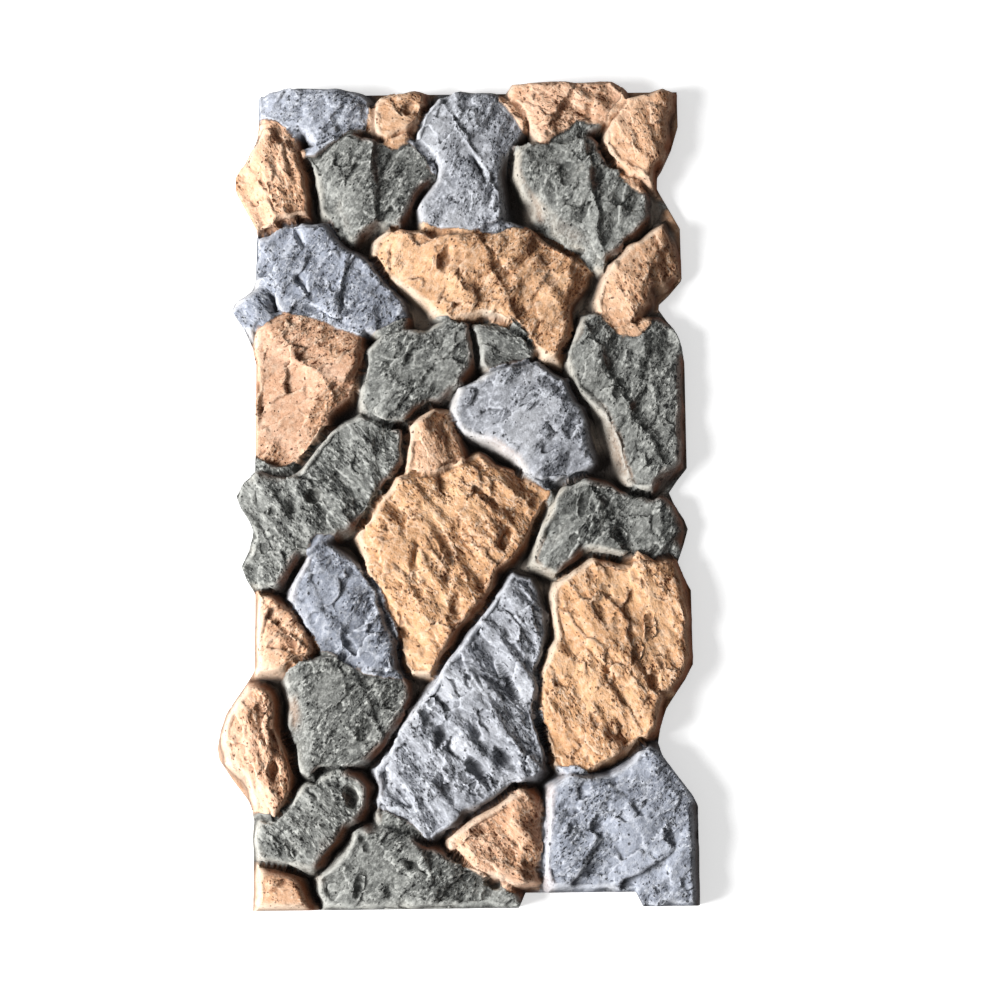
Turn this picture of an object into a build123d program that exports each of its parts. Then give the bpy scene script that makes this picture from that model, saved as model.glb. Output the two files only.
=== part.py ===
from build123d import *
import os
from dataclasses import dataclass

# One moulded wall panel: a flat slab with rubble stones in relief on its front.
# It lies on its back, with the stones facing +Z and the tab towards +Y.
# Lengths are in millimetres and angles in degrees.
PANEL_LENGTH = 1200.0
MODULE_PITCH = 628.0
SLAB_THICKNESS = 13.0
CROWN_HEIGHT = 54.0
SIDE_DRAFT = 17.0

# The tab on the top edge fits the notch in the bottom edge of the panel above it.
TAB_CENTRE = 146.0
TAB_WIDTH = 172.0
TAB_RISE = 13.0
TAB_END_SLANT = 10.0
NOTCH_SIDE_CLEARANCE = 1.5
NOTCH_TOP_CLEARANCE = 7.0

# Gap left between the side of one panel and that of the next.
SIDE_CLEARANCE = 1.0

# The stones start inside the slab, so that each one is fused to it.
ROOT_DEPTH = 3.0

# Face size that the outlines below were drawn on. They stretch with the panel.
DRAWN_PITCH = 628.0
DRAWN_LENGTH = 1200.0

# A cut that reaches past every edge of the panel.
FAR = 2 * (PANEL_LENGTH + MODULE_PITCH)

# Mouth of a hollow as shares of its half sizes, and the share of the mouth that is left at its floor.
HOLLOW_MOUTH = ((1, 0.3), (0.2, 1), (-0.8, 0.7), (-1, -0.3), (-0.2, -1), (0.8, -0.7))
HOLLOW_FLOOR = 0.5

# Side of the panel, from the top down: (height on the face, reach to the left of the module line).
# The left side stands out by this reach and the right side is cut back by it.
SIDE_PROFILE = (
    (545, 0), (512, 10), (480, 25), (466, 34), (448, 34), (420, 19), (386, 1),
    (308, 1), (286, 20), (272, 35), (262, 36), (238, 20), (205, 6), (180, 0),
    (24, 1), (8, 14), (-12, 28), (-32, 20), (-52, 7), (-66, 2), (-90, 9), (-115, 19), (-135, 11), (-155, 0),
    (-262, 0), (-284, 13), (-305, 27), (-325, 40), (-350, 49), (-374, 53), (-390, 50), (-418, 31),
    (-445, 10), (-463, 0),
)


def on_face(x, y):
    """Move a point of the drawn face to its place on the panel at its real size."""
    return (x * MODULE_PITCH / DRAWN_PITCH, y * PANEL_LENGTH / DRAWN_LENGTH)


def outline_face(points):
    """A flat face inside an outline that was drawn on the panel's face."""
    return make_face(Polyline(*[on_face(x, y) for x, y in points], close=True))


@dataclass
class Facet:
    """A broken face: a plane through a point of the crown that falls towards one direction."""

    x: float
    y: float
    toward: float
    slope: float
    drop: float = 0.0

    def tool(self):
        """Block above the plane, on all sides of the point."""
        block = Box(FAR, FAR, FAR, align=(Align.CENTER, Align.CENTER, Align.MIN))
        place = Pos(*on_face(self.x, self.y), CROWN_HEIGHT - self.drop) * Rot(0, 0, self.toward)
        return place * Rot(0, self.slope, 0) * block


@dataclass
class Ledge:
    """A bench: beyond a line across the stone, the crown steps down and falls away."""

    x: float
    y: float
    toward: float
    drop: float
    slope: float

    def tool(self):
        """Block above the bench, on the far side of the line."""
        block = Box(FAR, FAR, FAR, align=(Align.MIN, Align.CENTER, Align.MIN))
        place = Pos(*on_face(self.x, self.y), CROWN_HEIGHT - self.drop) * Rot(0, 0, self.toward)
        return place * Rot(0, self.slope, 0) * block


@dataclass
class Terrace:
    """A lower part of the crown inside an outline: it falls from a point towards its deep edge."""

    outline: tuple
    x: float
    y: float
    toward: float
    slope: float

    def tool(self):
        """What lies above the sloping floor, inside the outline."""
        column = extrude(outline_face(self.outline), amount=2 * CROWN_HEIGHT)
        return column & Facet(self.x, self.y, self.toward, self.slope).tool()


@dataclass
class Hollow:
    """A pit with sloping walls: half sizes and turn of its mouth, and depth below the crown."""

    x: float
    y: float
    length: float
    width: float
    turn: float
    depth: float

    def ring(self, share, height):
        """Rim of the pit at a height from the crown, at a share of the mouth's size."""
        points = [(u * self.length * share, v * self.width * share) for u, v in HOLLOW_MOUTH]
        return Pos(0, 0, height) * make_face(Polyline(*points, close=True))

    def tool(self):
        """Six-sided plug with straight sides: narrow at the floor, the mouth's size at the crown."""
        top = self.ring(2 - HOLLOW_FLOOR, self.depth)
        floor = self.ring(HOLLOW_FLOOR, -self.depth)
        plug = loft([top, floor])
        return Pos(*on_face(self.x, self.y), CROWN_HEIGHT) * Rot(0, 0, self.turn) * plug


@dataclass
class Cleft:
    """A crack with a V section that runs out at both ends: width and depth at its deepest place."""

    start: tuple
    end: tuple
    width: float
    depth: float
    deepest: float = 0.4

    def tool(self):
        """Spindle with its two tips at the crown and its edge at the bottom of the crack."""
        first, last = Vector(*on_face(*self.start)), Vector(*on_face(*self.end))
        along = last - first
        low = along.length * self.deepest
        corners = ((0, 0), (low, self.width / 2), (along.length, 0), (low, -self.width / 2))
        mouth = make_face(Polyline(*corners, close=True))
        spindle = loft([Vertex(low, 0, -self.depth), mouth, Vertex(low, 0, self.depth)], ruled=True)
        turn = Vector(1, 0, 0).get_signed_angle(along, Vector(0, 0, 1))
        return Pos(first.X, first.Y, CROWN_HEIGHT) * Rot(0, 0, turn) * spindle


@dataclass
class Stone:
    """A stone, by the outline of its crown and the faces broken out of it."""

    name: str
    outline: tuple
    breaks: tuple


STONES = (
    Stone(
        "corner slate",
        ((-307, 542), (-307, 586), (-297, 592), (-254, 597), (-190, 595), (-163, 589), (-150, 578),
         (-150, 533), (-190, 532), (-228, 516), (-242, 534)),
        (Facet(-202, 555, -42, 24), Facet(-235, 570, 190, 7), Facet(-240, 585, 90, 22)),
    ),
    Stone(
        "left knuckle",
        ((-303, 534), (-288, 539), (-258, 539), (-254, 528), (-260, 504), (-245, 453), (-242, 408),
         (-256, 402), (-278, 400), (-292, 386), (-312, 386), (-328, 411), (-342, 440), (-341, 464),
         (-320, 496)),
        (Facet(-302, 470, 188, 28), Facet(-290, 460, 10, 7), Ledge(-268, 485, 18, 6, 5)),
    ),
    Stone(
        "dark wedge",
        ((-250, 503), (-220, 511), (-176, 528), (-131, 512), (-93, 527), (-81, 513), (-56, 496), (-59, 462),
         (-81, 439), (-90, 423), (-105, 392), (-138, 391), (-172, 370), (-190, 376), (-215, 418),
         (-225, 465)),
        (Facet(-188, 430, 212, 30), Facet(-150, 460, 170, 6), Ledge(-138, 460, 2, 8, 3),
         Facet(-95, 500, 60, 14)),
    ),
    Stone(
        "small sandstone",
        ((-138, 572), (-126, 584), (-98, 586), (-81, 591), (-70, 589), (-69, 566), (-75, 548), (-92, 538),
         (-112, 531), (-124, 521), (-133, 527), (-139, 545)),
        (Facet(-108, 565, 200, 10), Facet(-88, 560, -20, 12), Hollow(-88, 566, 13, 8, 60, 9)),
    ),
    Stone(
        "top slate",
        ((-43, 581), (-12, 590), (36, 586), (62, 576), (77, 558), (81, 535), (52, 493), (43, 462),
         (48, 397), (20, 379), (-22, 374), (-67, 380), (-70, 415), (-44, 453), (-40, 480), (-49, 497),
         (-76, 519), (-63, 558)),
        (Facet(-25, 500, 203, 9), Ledge(6, 503, 31, 6, 4), Facet(30, 560, 60, 16), Facet(-20, 400, 250, 12),
         Cleft((2, 500), (28, 442), 17, 16)),
    ),
    Stone(
        "tab stone",
        ((64, 583), (70, 601), (213, 603), (228, 593), (232, 577), (216, 555), (200, 543), (150, 520),
         (125, 518), (104, 516), (93, 545), (80, 569)),
        (Facet(108, 560, 200, 16), Ledge(136, 560, -30, 5, 3), Facet(190, 565, -58, 14)),
    ),
    Stone(
        "corner sandstone",
        ((238, 577), (290, 592), (300, 588), (299, 570), (289, 550), (291, 513), (283, 488), (271, 470),
         (268, 452), (236, 465), (222, 482), (206, 510), (209, 530)),
        (Facet(274, 540, -12, 26), Facet(248, 520, 205, 7)),
    ),
    Stone(
        "dark saddle",
        ((73, 503), (118, 511), (176, 524), (190, 510), (195, 489), (225, 460), (250, 448), (260, 420),
         (258, 395), (222, 357), (197, 340), (192, 323), (175, 332), (135, 360), (108, 385), (97, 412),
         (83, 437), (70, 465)),
        (Facet(118, 425, 226, 36), Facet(150, 470, 190, 6), Ledge(181, 470, 8, 6, 6),
         Facet(226, 410, 8, 14), Hollow(189, 462, 19, 11, 60, 14)),
    ),
    Stone(
        "right spur",
        ((285, 380), (258, 360), (235, 347), (208, 318), (199, 298), (188, 268), (191, 250), (213, 239),
         (232, 240), (258, 265), (262, 290), (285, 300), (300, 312), (300, 335), (293, 365)),
        (Facet(262, 312, -22, 30), Facet(238, 310, 195, 9)),
    ),
    Stone(
        "broad slate",
        ((-309, 368), (-309, 295), (-297, 290), (-283, 281), (-276, 262), (-240, 268), (-165, 237),
         (-127, 219), (-103, 223), (-95, 240), (-103, 270), (-131, 303), (-158, 337), (-186, 354),
         (-206, 372), (-214, 388), (-250, 389), (-282, 385), (-296, 370)),
        (Facet(-288, 330, 184, 20), Facet(-230, 330, 160, 4), Ledge(-187, 285, -8, 5, 4),
         Facet(-150, 300, 45, 14), Cleft((-265, 390), (-238, 343), 15, 12),
         Cleft((-262, 318), (-228, 272), 15, 12)),
    ),
    Stone(
        "left chip",
        ((-309, 291), (-298, 286), (-290, 272), (-292, 259), (-300, 252), (-314, 243), (-322, 230),
         (-334, 242), (-343, 258), (-338, 270), (-320, 284)),
        (Facet(-320, 264, 195, 22), Facet(-305, 268, 30, 12)),
    ),
    Stone(
        "grained sandstone",
        ((-314, 240), (-303, 251), (-275, 258), (-240, 267), (-200, 247), (-160, 225), (-167, 190),
         (-167, 142), (-182, 128), (-209, 103), (-213, 88), (-240, 53), (-260, 36), (-265, 17), (-297, 25),
         (-306, 28), (-308, 180)),
        (Facet(-250, 170, 232, 9), Facet(-238, 178, 54, 7), Facet(-214, 118, -35, 28),
         Facet(-294, 110, 182, 22)),
    ),
    Stone(
        "great sandstone",
        ((-142, 345), (-138, 363), (-120, 380), (-53, 371), (-8, 372), (17, 374), (46, 391), (80, 379),
         (105, 361), (145, 337), (170, 316), (166, 298), (141, 260), (138, 230), (125, 186), (112, 190),
         (62, 228), (42, 243), (17, 253), (-43, 247), (-57, 268), (-98, 298), (-127, 322)),
        (Facet(-45, 315, 219, 11), Ledge(32, 330, 24, 5, 5), Facet(112, 275, -2, 22),
         Facet(70, 355, 58, 14), Hollow(-38, 333, 22, 10, 75, 12)),
    ),
    Stone(
        "brown boulder",
        ((-152, 195), (-127, 217), (-60, 225), (-36, 242), (-8, 235), (0, 197), (-3, 177), (-17, 152),
         (-48, 130), (-82, 112), (-100, 95), (-145, 95), (-157, 110), (-153, 160)),
        (Facet(-125, 150, 190, 14), Ledge(-92, 132, -46, 5, 6), Facet(-60, 195, 95, 8),
         Facet(-25, 190, -15, 12)),
    ),
    Stone(
        "dark chip",
        ((8, 232), (36, 240), (60, 222), (90, 196), (82, 186), (50, 180), (33, 163), (20, 180), (17, 205)),
        (Facet(38, 205, -70, 14, 4), Facet(38, 205, 120, 10, 4)),
    ),
    Stone(
        "dark tower",
        ((143, 193), (158, 229), (168, 243), (190, 246), (217, 235), (240, 230), (262, 241), (274, 240),
         (292, 222), (300, 200), (297, 60), (295, 30), (272, 12), (258, -10), (231, -8), (221, 15),
         (207, 62), (192, 99), (158, 139), (149, 165)),
        (Facet(206, 125, 202, 16), Ledge(214, 150, 28, 6, 6), Facet(276, 100, 0, 24),
         Hollow(240, 190, 28, 15, 60, 12)),
    ),
    Stone(
        "grey boulder",
        ((-24, 112), (-15, 138), (13, 151), (43, 167), (68, 172), (100, 177), (112, 160), (132, 150),
         (145, 117), (157, 107), (163, 75), (175, 42), (175, 28), (138, 8), (105, 5), (80, 17), (62, 42),
         (26, 66), (0, 72), (-15, 84)),
        (Facet(50, 75, 232, 16), Facet(60, 120, 150, 4), Ledge(112, 80, -35, 4, 5), Facet(118, 122, 50, 16),
         Cleft((97, 95), (140, 58), 15, 13)),
    ),
    Stone(
        "small wedge",
        ((-88, 86), (-55, 108), (-36, 105), (-30, 80), (-19, 52), (-13, 38), (-48, 24), (-92, 17),
         (-87, 60)),
        (Facet(-62, 60, 188, 12), Facet(-51, 78, 24, 26)),
    ),
    Stone(
        "long dark stone",
        ((-163, 97), (-145, 94), (-117, 87), (-105, 77), (-103, 43), (-112, 22), (-130, 0), (-142, -20),
         (-155, -42), (-172, -57), (-192, -67), (-213, -86), (-240, -98), (-252, -97), (-262, -113),
         (-267, -127), (-280, -140), (-303, -146), (-320, -136), (-326, -120), (-314, -95), (-309, -72),
         (-312, -58), (-325, -38), (-335, -18), (-325, 0), (-309, 17), (-287, 10), (-267, 5), (-247, 18),
         (-208, 72), (-190, 85)),
        (Facet(-288, -30, 188, 18), Facet(-150, 40, -20, 9), Facet(-190, -40, -48, 10),
         Hollow(-230, -15, 13, 8, 30, 9), Cleft((-262, -8), (-261, -55), 17, 9)),
    ),
    Stone(
        "heart sandstone",
        ((-115, -10), (-105, 8), (-60, 17), (-20, 30), (10, 41), (30, 25), (60, 14), (90, 0), (112, -10),
         (112, -22), (97, -32), (90, -50), (78, -72), (66, -92), (52, -110), (30, -124), (24, -146),
         (12, -164), (-14, -194), (-38, -226), (-52, -255), (-64, -270), (-90, -268), (-95, -258),
         (-97, -240), (-115, -205), (-133, -155), (-150, -115), (-163, -75), (-160, -65), (-145, -52),
         (-128, -18)),
        (Facet(-104, -120, 206, 15), Facet(-60, -150, -20, 4), Ledge(34, -75, 6, 6, 6),
         Facet(10, -10, 75, 8), Hollow(46, -80, 27, 13, 70, 16), Hollow(-25, -172, 22, 9, 80, 9),
         Cleft((-80, -72), (-86, -157), 19, 10), Cleft((-55, -60), (-12, -150), 15, 9)),
    ),
    Stone(
        "right knuckle",
        ((120, -30), (125, -18), (135, -7), (172, 2), (190, -3), (215, -17), (240, -26), (262, -30),
         (272, -26), (284, -40), (296, -70), (285, -105), (260, -113), (220, -108), (200, -103), (178, -97),
         (155, -96), (140, -110), (118, -128), (88, -114), (96, -90), (100, -70), (112, -52)),
        (Facet(252, -65, -4, 24), Facet(150, -60, 205, 7), Ledge(207, -75, 24, 5, 5),
         Cleft((203, -60), (223, -102), 17, 16)),
    ),
    Stone(
        "leaning slate",
        ((-212, -88), (-235, -103), (-243, -127), (-257, -150), (-259, -163), (-254, -178), (-240, -195),
         (-215, -240), (-200, -249), (-180, -253), (-150, -268), (-116, -268), (-113, -252), (-120, -215),
         (-138, -175), (-138, -160), (-145, -145), (-160, -125), (-180, -108)),
        (Facet(-203, -205, 222, 22), Facet(-180, -170, 42, 6), Facet(-126, -240, 10, 24),
         Cleft((-188, -217), (-162, -250), 15, 12)),
    ),
    Stone(
        "left tile",
        ((-304, -160), (-290, -162), (-280, -168), (-262, -185), (-250, -205), (-238, -220), (-231, -235),
         (-238, -245), (-255, -252), (-270, -262), (-280, -266), (-304, -266)),
        (Facet(-296, -215, 182, 26), Ledge(-270, -208, 52, 5, 5)),
    ),
    Stone(
        "charcoal boulder",
        ((-263, -267), (-255, -257), (-235, -253), (-195, -250), (-175, -257), (-155, -270), (-112, -272),
         (-98, -290), (-95, -305), (-105, -325), (-115, -345), (-133, -372), (-160, -395), (-185, -402),
         (-220, -402), (-230, -413), (-243, -405), (-247, -390), (-260, -355), (-258, -335), (-255, -315),
         (-258, -300), (-265, -280)),
        (Facet(-240, -330, 188, 34), Facet(-180, -320, 60, 5), Ledge(-138, -345, 20, 6, 6),
         Facet(-180, -370, 265, 8)),
    ),
    Stone(
        "left shoulder stone",
        ((-318, -294), (-300, -293), (-290, -298), (-283, -310), (-283, -345), (-272, -375), (-264, -395),
         (-262, -435), (-270, -450), (-288, -468), (-305, -464), (-307, -445), (-323, -412), (-345, -390),
         (-351, -372), (-350, -350), (-344, -330), (-335, -315)),
        (Facet(-325, -395, 226, 26), Facet(-318, -330, 170, 12), Ledge(-283, -400, 2, 5, 8),
         Cleft((-281, -380), (-281, -440), 15, 17)),
    ),
    Stone(
        "cracked stone",
        ((-300, -480), (-280, -476), (-262, -458), (-237, -430), (-195, -410), (-165, -418), (-153, -432),
         (-154, -458), (-165, -475), (-185, -487), (-210, -520), (-228, -543), (-245, -540), (-275, -530),
         (-301, -526), (-304, -500)),
        (Facet(-292, -500, 182, 24), Ledge(-262, -507, 196, 4, 4), Facet(-225, -470, 130, 8),
         Hollow(-174, -443, 17, 8, 100, 14)),
    ),
    Stone(
        "corner block",
        ((-301, -545), (-270, -548), (-250, -560), (-240, -575), (-236, -591), (-302, -591)),
        (Facet(-280, -570, 190, 12), Facet(-265, -562, 40, 8)),
    ),
    Stone(
        "bottom rubble",
        ((-168, -495), (-155, -490), (-130, -490), (-100, -495), (-60, -520), (-10, -547), (8, -556),
         (20, -574), (42, -572), (54, -586), (54, -592), (-210, -592), (-219, -558), (-210, -550),
         (-195, -537), (-180, -525)),
        (Facet(-190, -560, 215, 8), Facet(-110, -512, 75, 12), Ledge(-62, -560, 8, 5, 4),
         Facet(-100, -575, 270, 14), Cleft((-112, -524), (-58, -560), 17, 12)),
    ),
    Stone(
        "ridged slate",
        ((58, -135), (80, -140), (90, -165), (96, -190), (95, -230), (87, -262), (84, -290), (80, -320),
         (88, -355), (96, -390), (94, -412), (65, -425), (35, -440), (0, -458), (-15, -465), (-30, -480),
         (-60, -503), (-100, -488), (-134, -485), (-136, -465), (-132, -445), (-135, -420), (-138, -405),
         (-120, -388), (-110, -360), (-85, -330), (-55, -288), (-30, -250), (-15, -235), (10, -195),
         (45, -155)),
        (Facet(-60, -380, 216, 6), Ledge(38, -262, 33, 5, 4), Facet(74, -300, 8, 22),
         Facet(30, -400, 20, 5), Cleft((30, -188), (75, -262), 17, 13),
         Cleft((20, -238), (84, -348), 17, 14), Cleft((-12, -385), (22, -440), 15, 10),
         Cleft((26, -370), (60, -422), 15, 12), Cleft((-46, -342), (-56, -392), 17, 14)),
    ),
    Stone(
        "amber sandstone",
        ((172, -113), (150, -130), (122, -148), (118, -160), (117, -185), (122, -225), (106, -265),
         (98, -283), (96, -330), (105, -360), (112, -380), (114, -400), (125, -412), (135, -416),
         (175, -402), (205, -383), (240, -366), (254, -345), (257, -320), (263, -303), (278, -296),
         (292, -280), (300, -250), (300, -180), (294, -145), (284, -120), (235, -118), (205, -123)),
        (Facet(200, -220, 196, 6), Facet(236, -250, 5, 6), Facet(285, -210, 0, 28),
         Facet(130, -270, 186, 16), Hollow(168, -342, 21, 9, -60, 11), Hollow(254, -285, 15, 6, 85, 9)),
    ),
    Stone(
        "triangle stone",
        ((62, -441), (78, -440), (86, -458), (90, -490), (84, -540), (83, -560), (55, -568), (20, -552),
         (-10, -537), (-36, -519), (-32, -505), (0, -478), (25, -465)),
        (Facet(62, -490, 2, 28), Facet(20, -515, 238, 9)),
    ),
    Stone(
        "stepped slate",
        ((238, -380), (222, -400), (190, -420), (150, -423), (135, -420), (108, -437), (104, -450),
         (105, -480), (96, -535), (98, -555), (106, -570), (222, -570), (236, -592), (300, -592),
         (302, -540), (303, -480), (304, -460), (290, -435), (262, -402), (250, -382)),
        (Facet(262, -430, 38, 16),
         Terrace(((170, -472), (163, -492), (175, -508), (168, -525), (150, -548), (135, -562), (130, -600),
                  (270, -600), (255, -472)), 240, -500, 200, 5),
         Terrace(((262, -492), (278, -520), (270, -530), (250, -543), (228, -556), (205, -563), (200, -600),
                  (330, -600), (330, -492)), 306, -520, 205, 9)),
    ),
)


def side_points(line):
    """Follow one side from top to bottom, past both ends of the panel."""
    points = [(line, PANEL_LENGTH)]
    for height, reach in SIDE_PROFILE:
        points.append((line - reach, on_face(0, height)[1]))
    return points + [(line, -PANEL_LENGTH)]


def edge_step(line, rise, half_width):
    """The tab or the notch on a horizontal edge: it starts below the line and ends with slanted corners."""
    corner = half_width - TAB_END_SLANT
    points = ((-half_width, -rise), (-half_width, 0), (-corner, rise), (corner, rise), (half_width, 0),
              (half_width, -rise))
    return Pos(TAB_CENTRE, line) * make_face(Polyline(*points, close=True))


def panel_outline():
    """Outline of the whole panel, seen from the front."""
    right = side_points(MODULE_PITCH / 2 - SIDE_CLEARANCE)
    left = side_points(-MODULE_PITCH / 2)
    strip = make_face(Polyline(*right, *left[::-1], close=True))
    body = strip & Rectangle(2 * MODULE_PITCH, PANEL_LENGTH)
    tab = edge_step(PANEL_LENGTH / 2, TAB_RISE, TAB_WIDTH / 2)
    notch_half_width = TAB_WIDTH / 2 + NOTCH_SIDE_CLEARANCE
    notch = edge_step(-PANEL_LENGTH / 2, TAB_RISE + NOTCH_TOP_CLEARANCE, notch_half_width)
    return body + tab - notch


def stone_body(stone):
    """One stone: its sides widen from the crown down into the slab, then its faces are broken out."""
    crown = Pos(0, 0, CROWN_HEIGHT) * outline_face(stone.outline)
    depth = CROWN_HEIGHT - SLAB_THICKNESS + ROOT_DEPTH
    block = extrude(crown, amount=depth, dir=(0, 0, -1), taper=-SIDE_DRAFT)
    return block - [cut.tool() for cut in stone.breaks]


def stone_panel():
    """The slab with every stone on it, trimmed to the panel's outline."""
    outline = panel_outline()
    slab = extrude(outline, amount=SLAB_THICKNESS)
    relief = Part() + [stone_body(stone) for stone in STONES]
    trimmed = relief & extrude(outline, amount=CROWN_HEIGHT)
    return slab + trimmed


def centred(solid):
    """Put the origin under the middle of the overall box, on the back face."""
    box = solid.bounding_box()
    middle = box.center()
    return Pos(-middle.X, -middle.Y, -box.min.Z) * solid


panel = centred(stone_panel())
os.makedirs("parts", exist_ok=True)
export_step(panel, "parts/stone_panel.step")
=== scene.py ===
"""Looks of a faux stone wall panel: a moulded relief of rubble stones, each one painted."""

from __future__ import annotations

import heapq
import logging
import math
from dataclasses import dataclass, field, fields
from enum import Enum

import bmesh
import bpy
import numpy as np
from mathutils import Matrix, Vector
from mathutils.bvhtree import BVHTree
from mathutils.geometry import tessellate_polygon


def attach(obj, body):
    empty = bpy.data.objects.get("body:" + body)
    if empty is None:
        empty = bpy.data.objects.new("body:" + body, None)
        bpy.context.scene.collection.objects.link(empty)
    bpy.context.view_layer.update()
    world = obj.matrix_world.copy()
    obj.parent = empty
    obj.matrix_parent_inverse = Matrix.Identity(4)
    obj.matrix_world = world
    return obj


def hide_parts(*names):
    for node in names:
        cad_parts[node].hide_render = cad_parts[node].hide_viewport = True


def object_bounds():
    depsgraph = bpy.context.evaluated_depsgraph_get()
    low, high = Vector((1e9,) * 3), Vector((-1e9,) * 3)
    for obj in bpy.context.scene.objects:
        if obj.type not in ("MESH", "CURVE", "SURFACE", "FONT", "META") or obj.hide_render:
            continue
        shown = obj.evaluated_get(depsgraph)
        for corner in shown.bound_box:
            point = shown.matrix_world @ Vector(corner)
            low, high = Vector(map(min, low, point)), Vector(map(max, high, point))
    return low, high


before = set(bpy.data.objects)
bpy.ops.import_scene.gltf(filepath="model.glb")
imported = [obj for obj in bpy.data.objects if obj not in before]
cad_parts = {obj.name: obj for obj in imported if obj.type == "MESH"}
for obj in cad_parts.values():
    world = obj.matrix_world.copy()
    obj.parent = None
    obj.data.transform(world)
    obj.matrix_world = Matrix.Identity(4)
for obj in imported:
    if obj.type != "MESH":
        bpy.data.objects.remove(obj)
cad_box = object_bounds()

log = logging.getLogger("stone_panel")
MM = 0.001
PITCH = 1.5

# Lengths in metres: where rays start above the highest crown, what counts as nothing, and
# below which height the middle of a face lies on the back.
RAY_START = 0.05
TINY = 1e-6
BACK_LEVEL = 1e-5

# Numbers of grid points: the grid's margin, and how far the face is carried past its outline.
MARGIN_CELLS = 4
BESIDE_CELLS = 3

# What three box blurs in a row reach, measured in the half width of one of them.
BLUR_SPREAD = 1.7

# How uneven the edges of the marks are: a fine and a broad noise, each with its reach and its
# size in mm. A mark changes nothing beyond its margin.
MARK_RAGGED = ((2.4, 6), (4.0, 16))
MARK_MARGIN = 46

# How deep the middle of a pit and of a cleft is cut, as shares of its depth, how far beyond
# its half sizes a pit's rim fades out, and how dark the paint in a pit may be.
PIT_SHARE = 0.5
CLEFT_SHARE = 0.75
PIT_RIM = 1.5
PIT_LIMIT = 0.62

# The middle of a noise's colour, white, the bending of light by plastic, and what turns a
# grid of squares into one of triangles, which is about (sqrt(3) - 1) / 2.
MIDDLE = (0.5, 0.5, 0.5)
WHITE = (1, 1, 1, 1)
FOAM_IOR = 1.46
TRIANGLE_SKEW = 0.366

# How far apart in mm the patterns of two stones and of two seeds lie, and how much the places
# along and across the grain are pressed together, which draws a pattern out along the grain.
STONE_SHIFT = (631.0, -217.0)
SEED_SHIFT = 53.0
FACETS_ALONG = (0.45, 1.0, 0.0)
FLAKES_ALONG = (0.5, 1.0, 1.0)
PITS_ALONG = (0.7, 1.0, 1.0)
DENTS_ALONG = (0.55, 1.0, 1.0)

# Where the drawn face lies in the frame: half a module in from the widest bulge, and half
# the panel down from the top of the tab. Stones and marks below are placed on that face in mm.
WIDEST_BULGE = 53.0
TAB_RISE = 13.0
HALF_PITCH = 314.0
HALF_LENGTH = 600.0
FACE_X = cad_box[0][0] / MM + WIDEST_BULGE + HALF_PITCH
FACE_Y = cad_box[1][1] / MM - TAB_RISE - HALF_LENGTH

# Direction in degrees that the lamp shines from, seen from above: left and a little below.
LIGHT_FROM = 196.0


class Paint(Enum):
    """The three finishes that the stones are painted in."""

    TAN = 0
    BLUE = 1
    CHARCOAL = 2


@dataclass(frozen=True)
class Stone:
    """How one stone is painted and how rough it was cast.

    spine is a line of points in mm along the middle of its crown, grain the direction of
    its bedding in degrees, crag scales the height of its relief, light makes its paint paler
    or darker than the others of its family, warm moves tan from pink towards amber and blue
    towards ash, and the last number is how much pale painted light its sides that face the lamp get.
    """

    spine: tuple
    paint: Paint
    grain: float = 45.0
    crag: float = 1.0
    light: float = 0.0
    warm: float = 0.0
    lit_side_paint: float = 0.6


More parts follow.
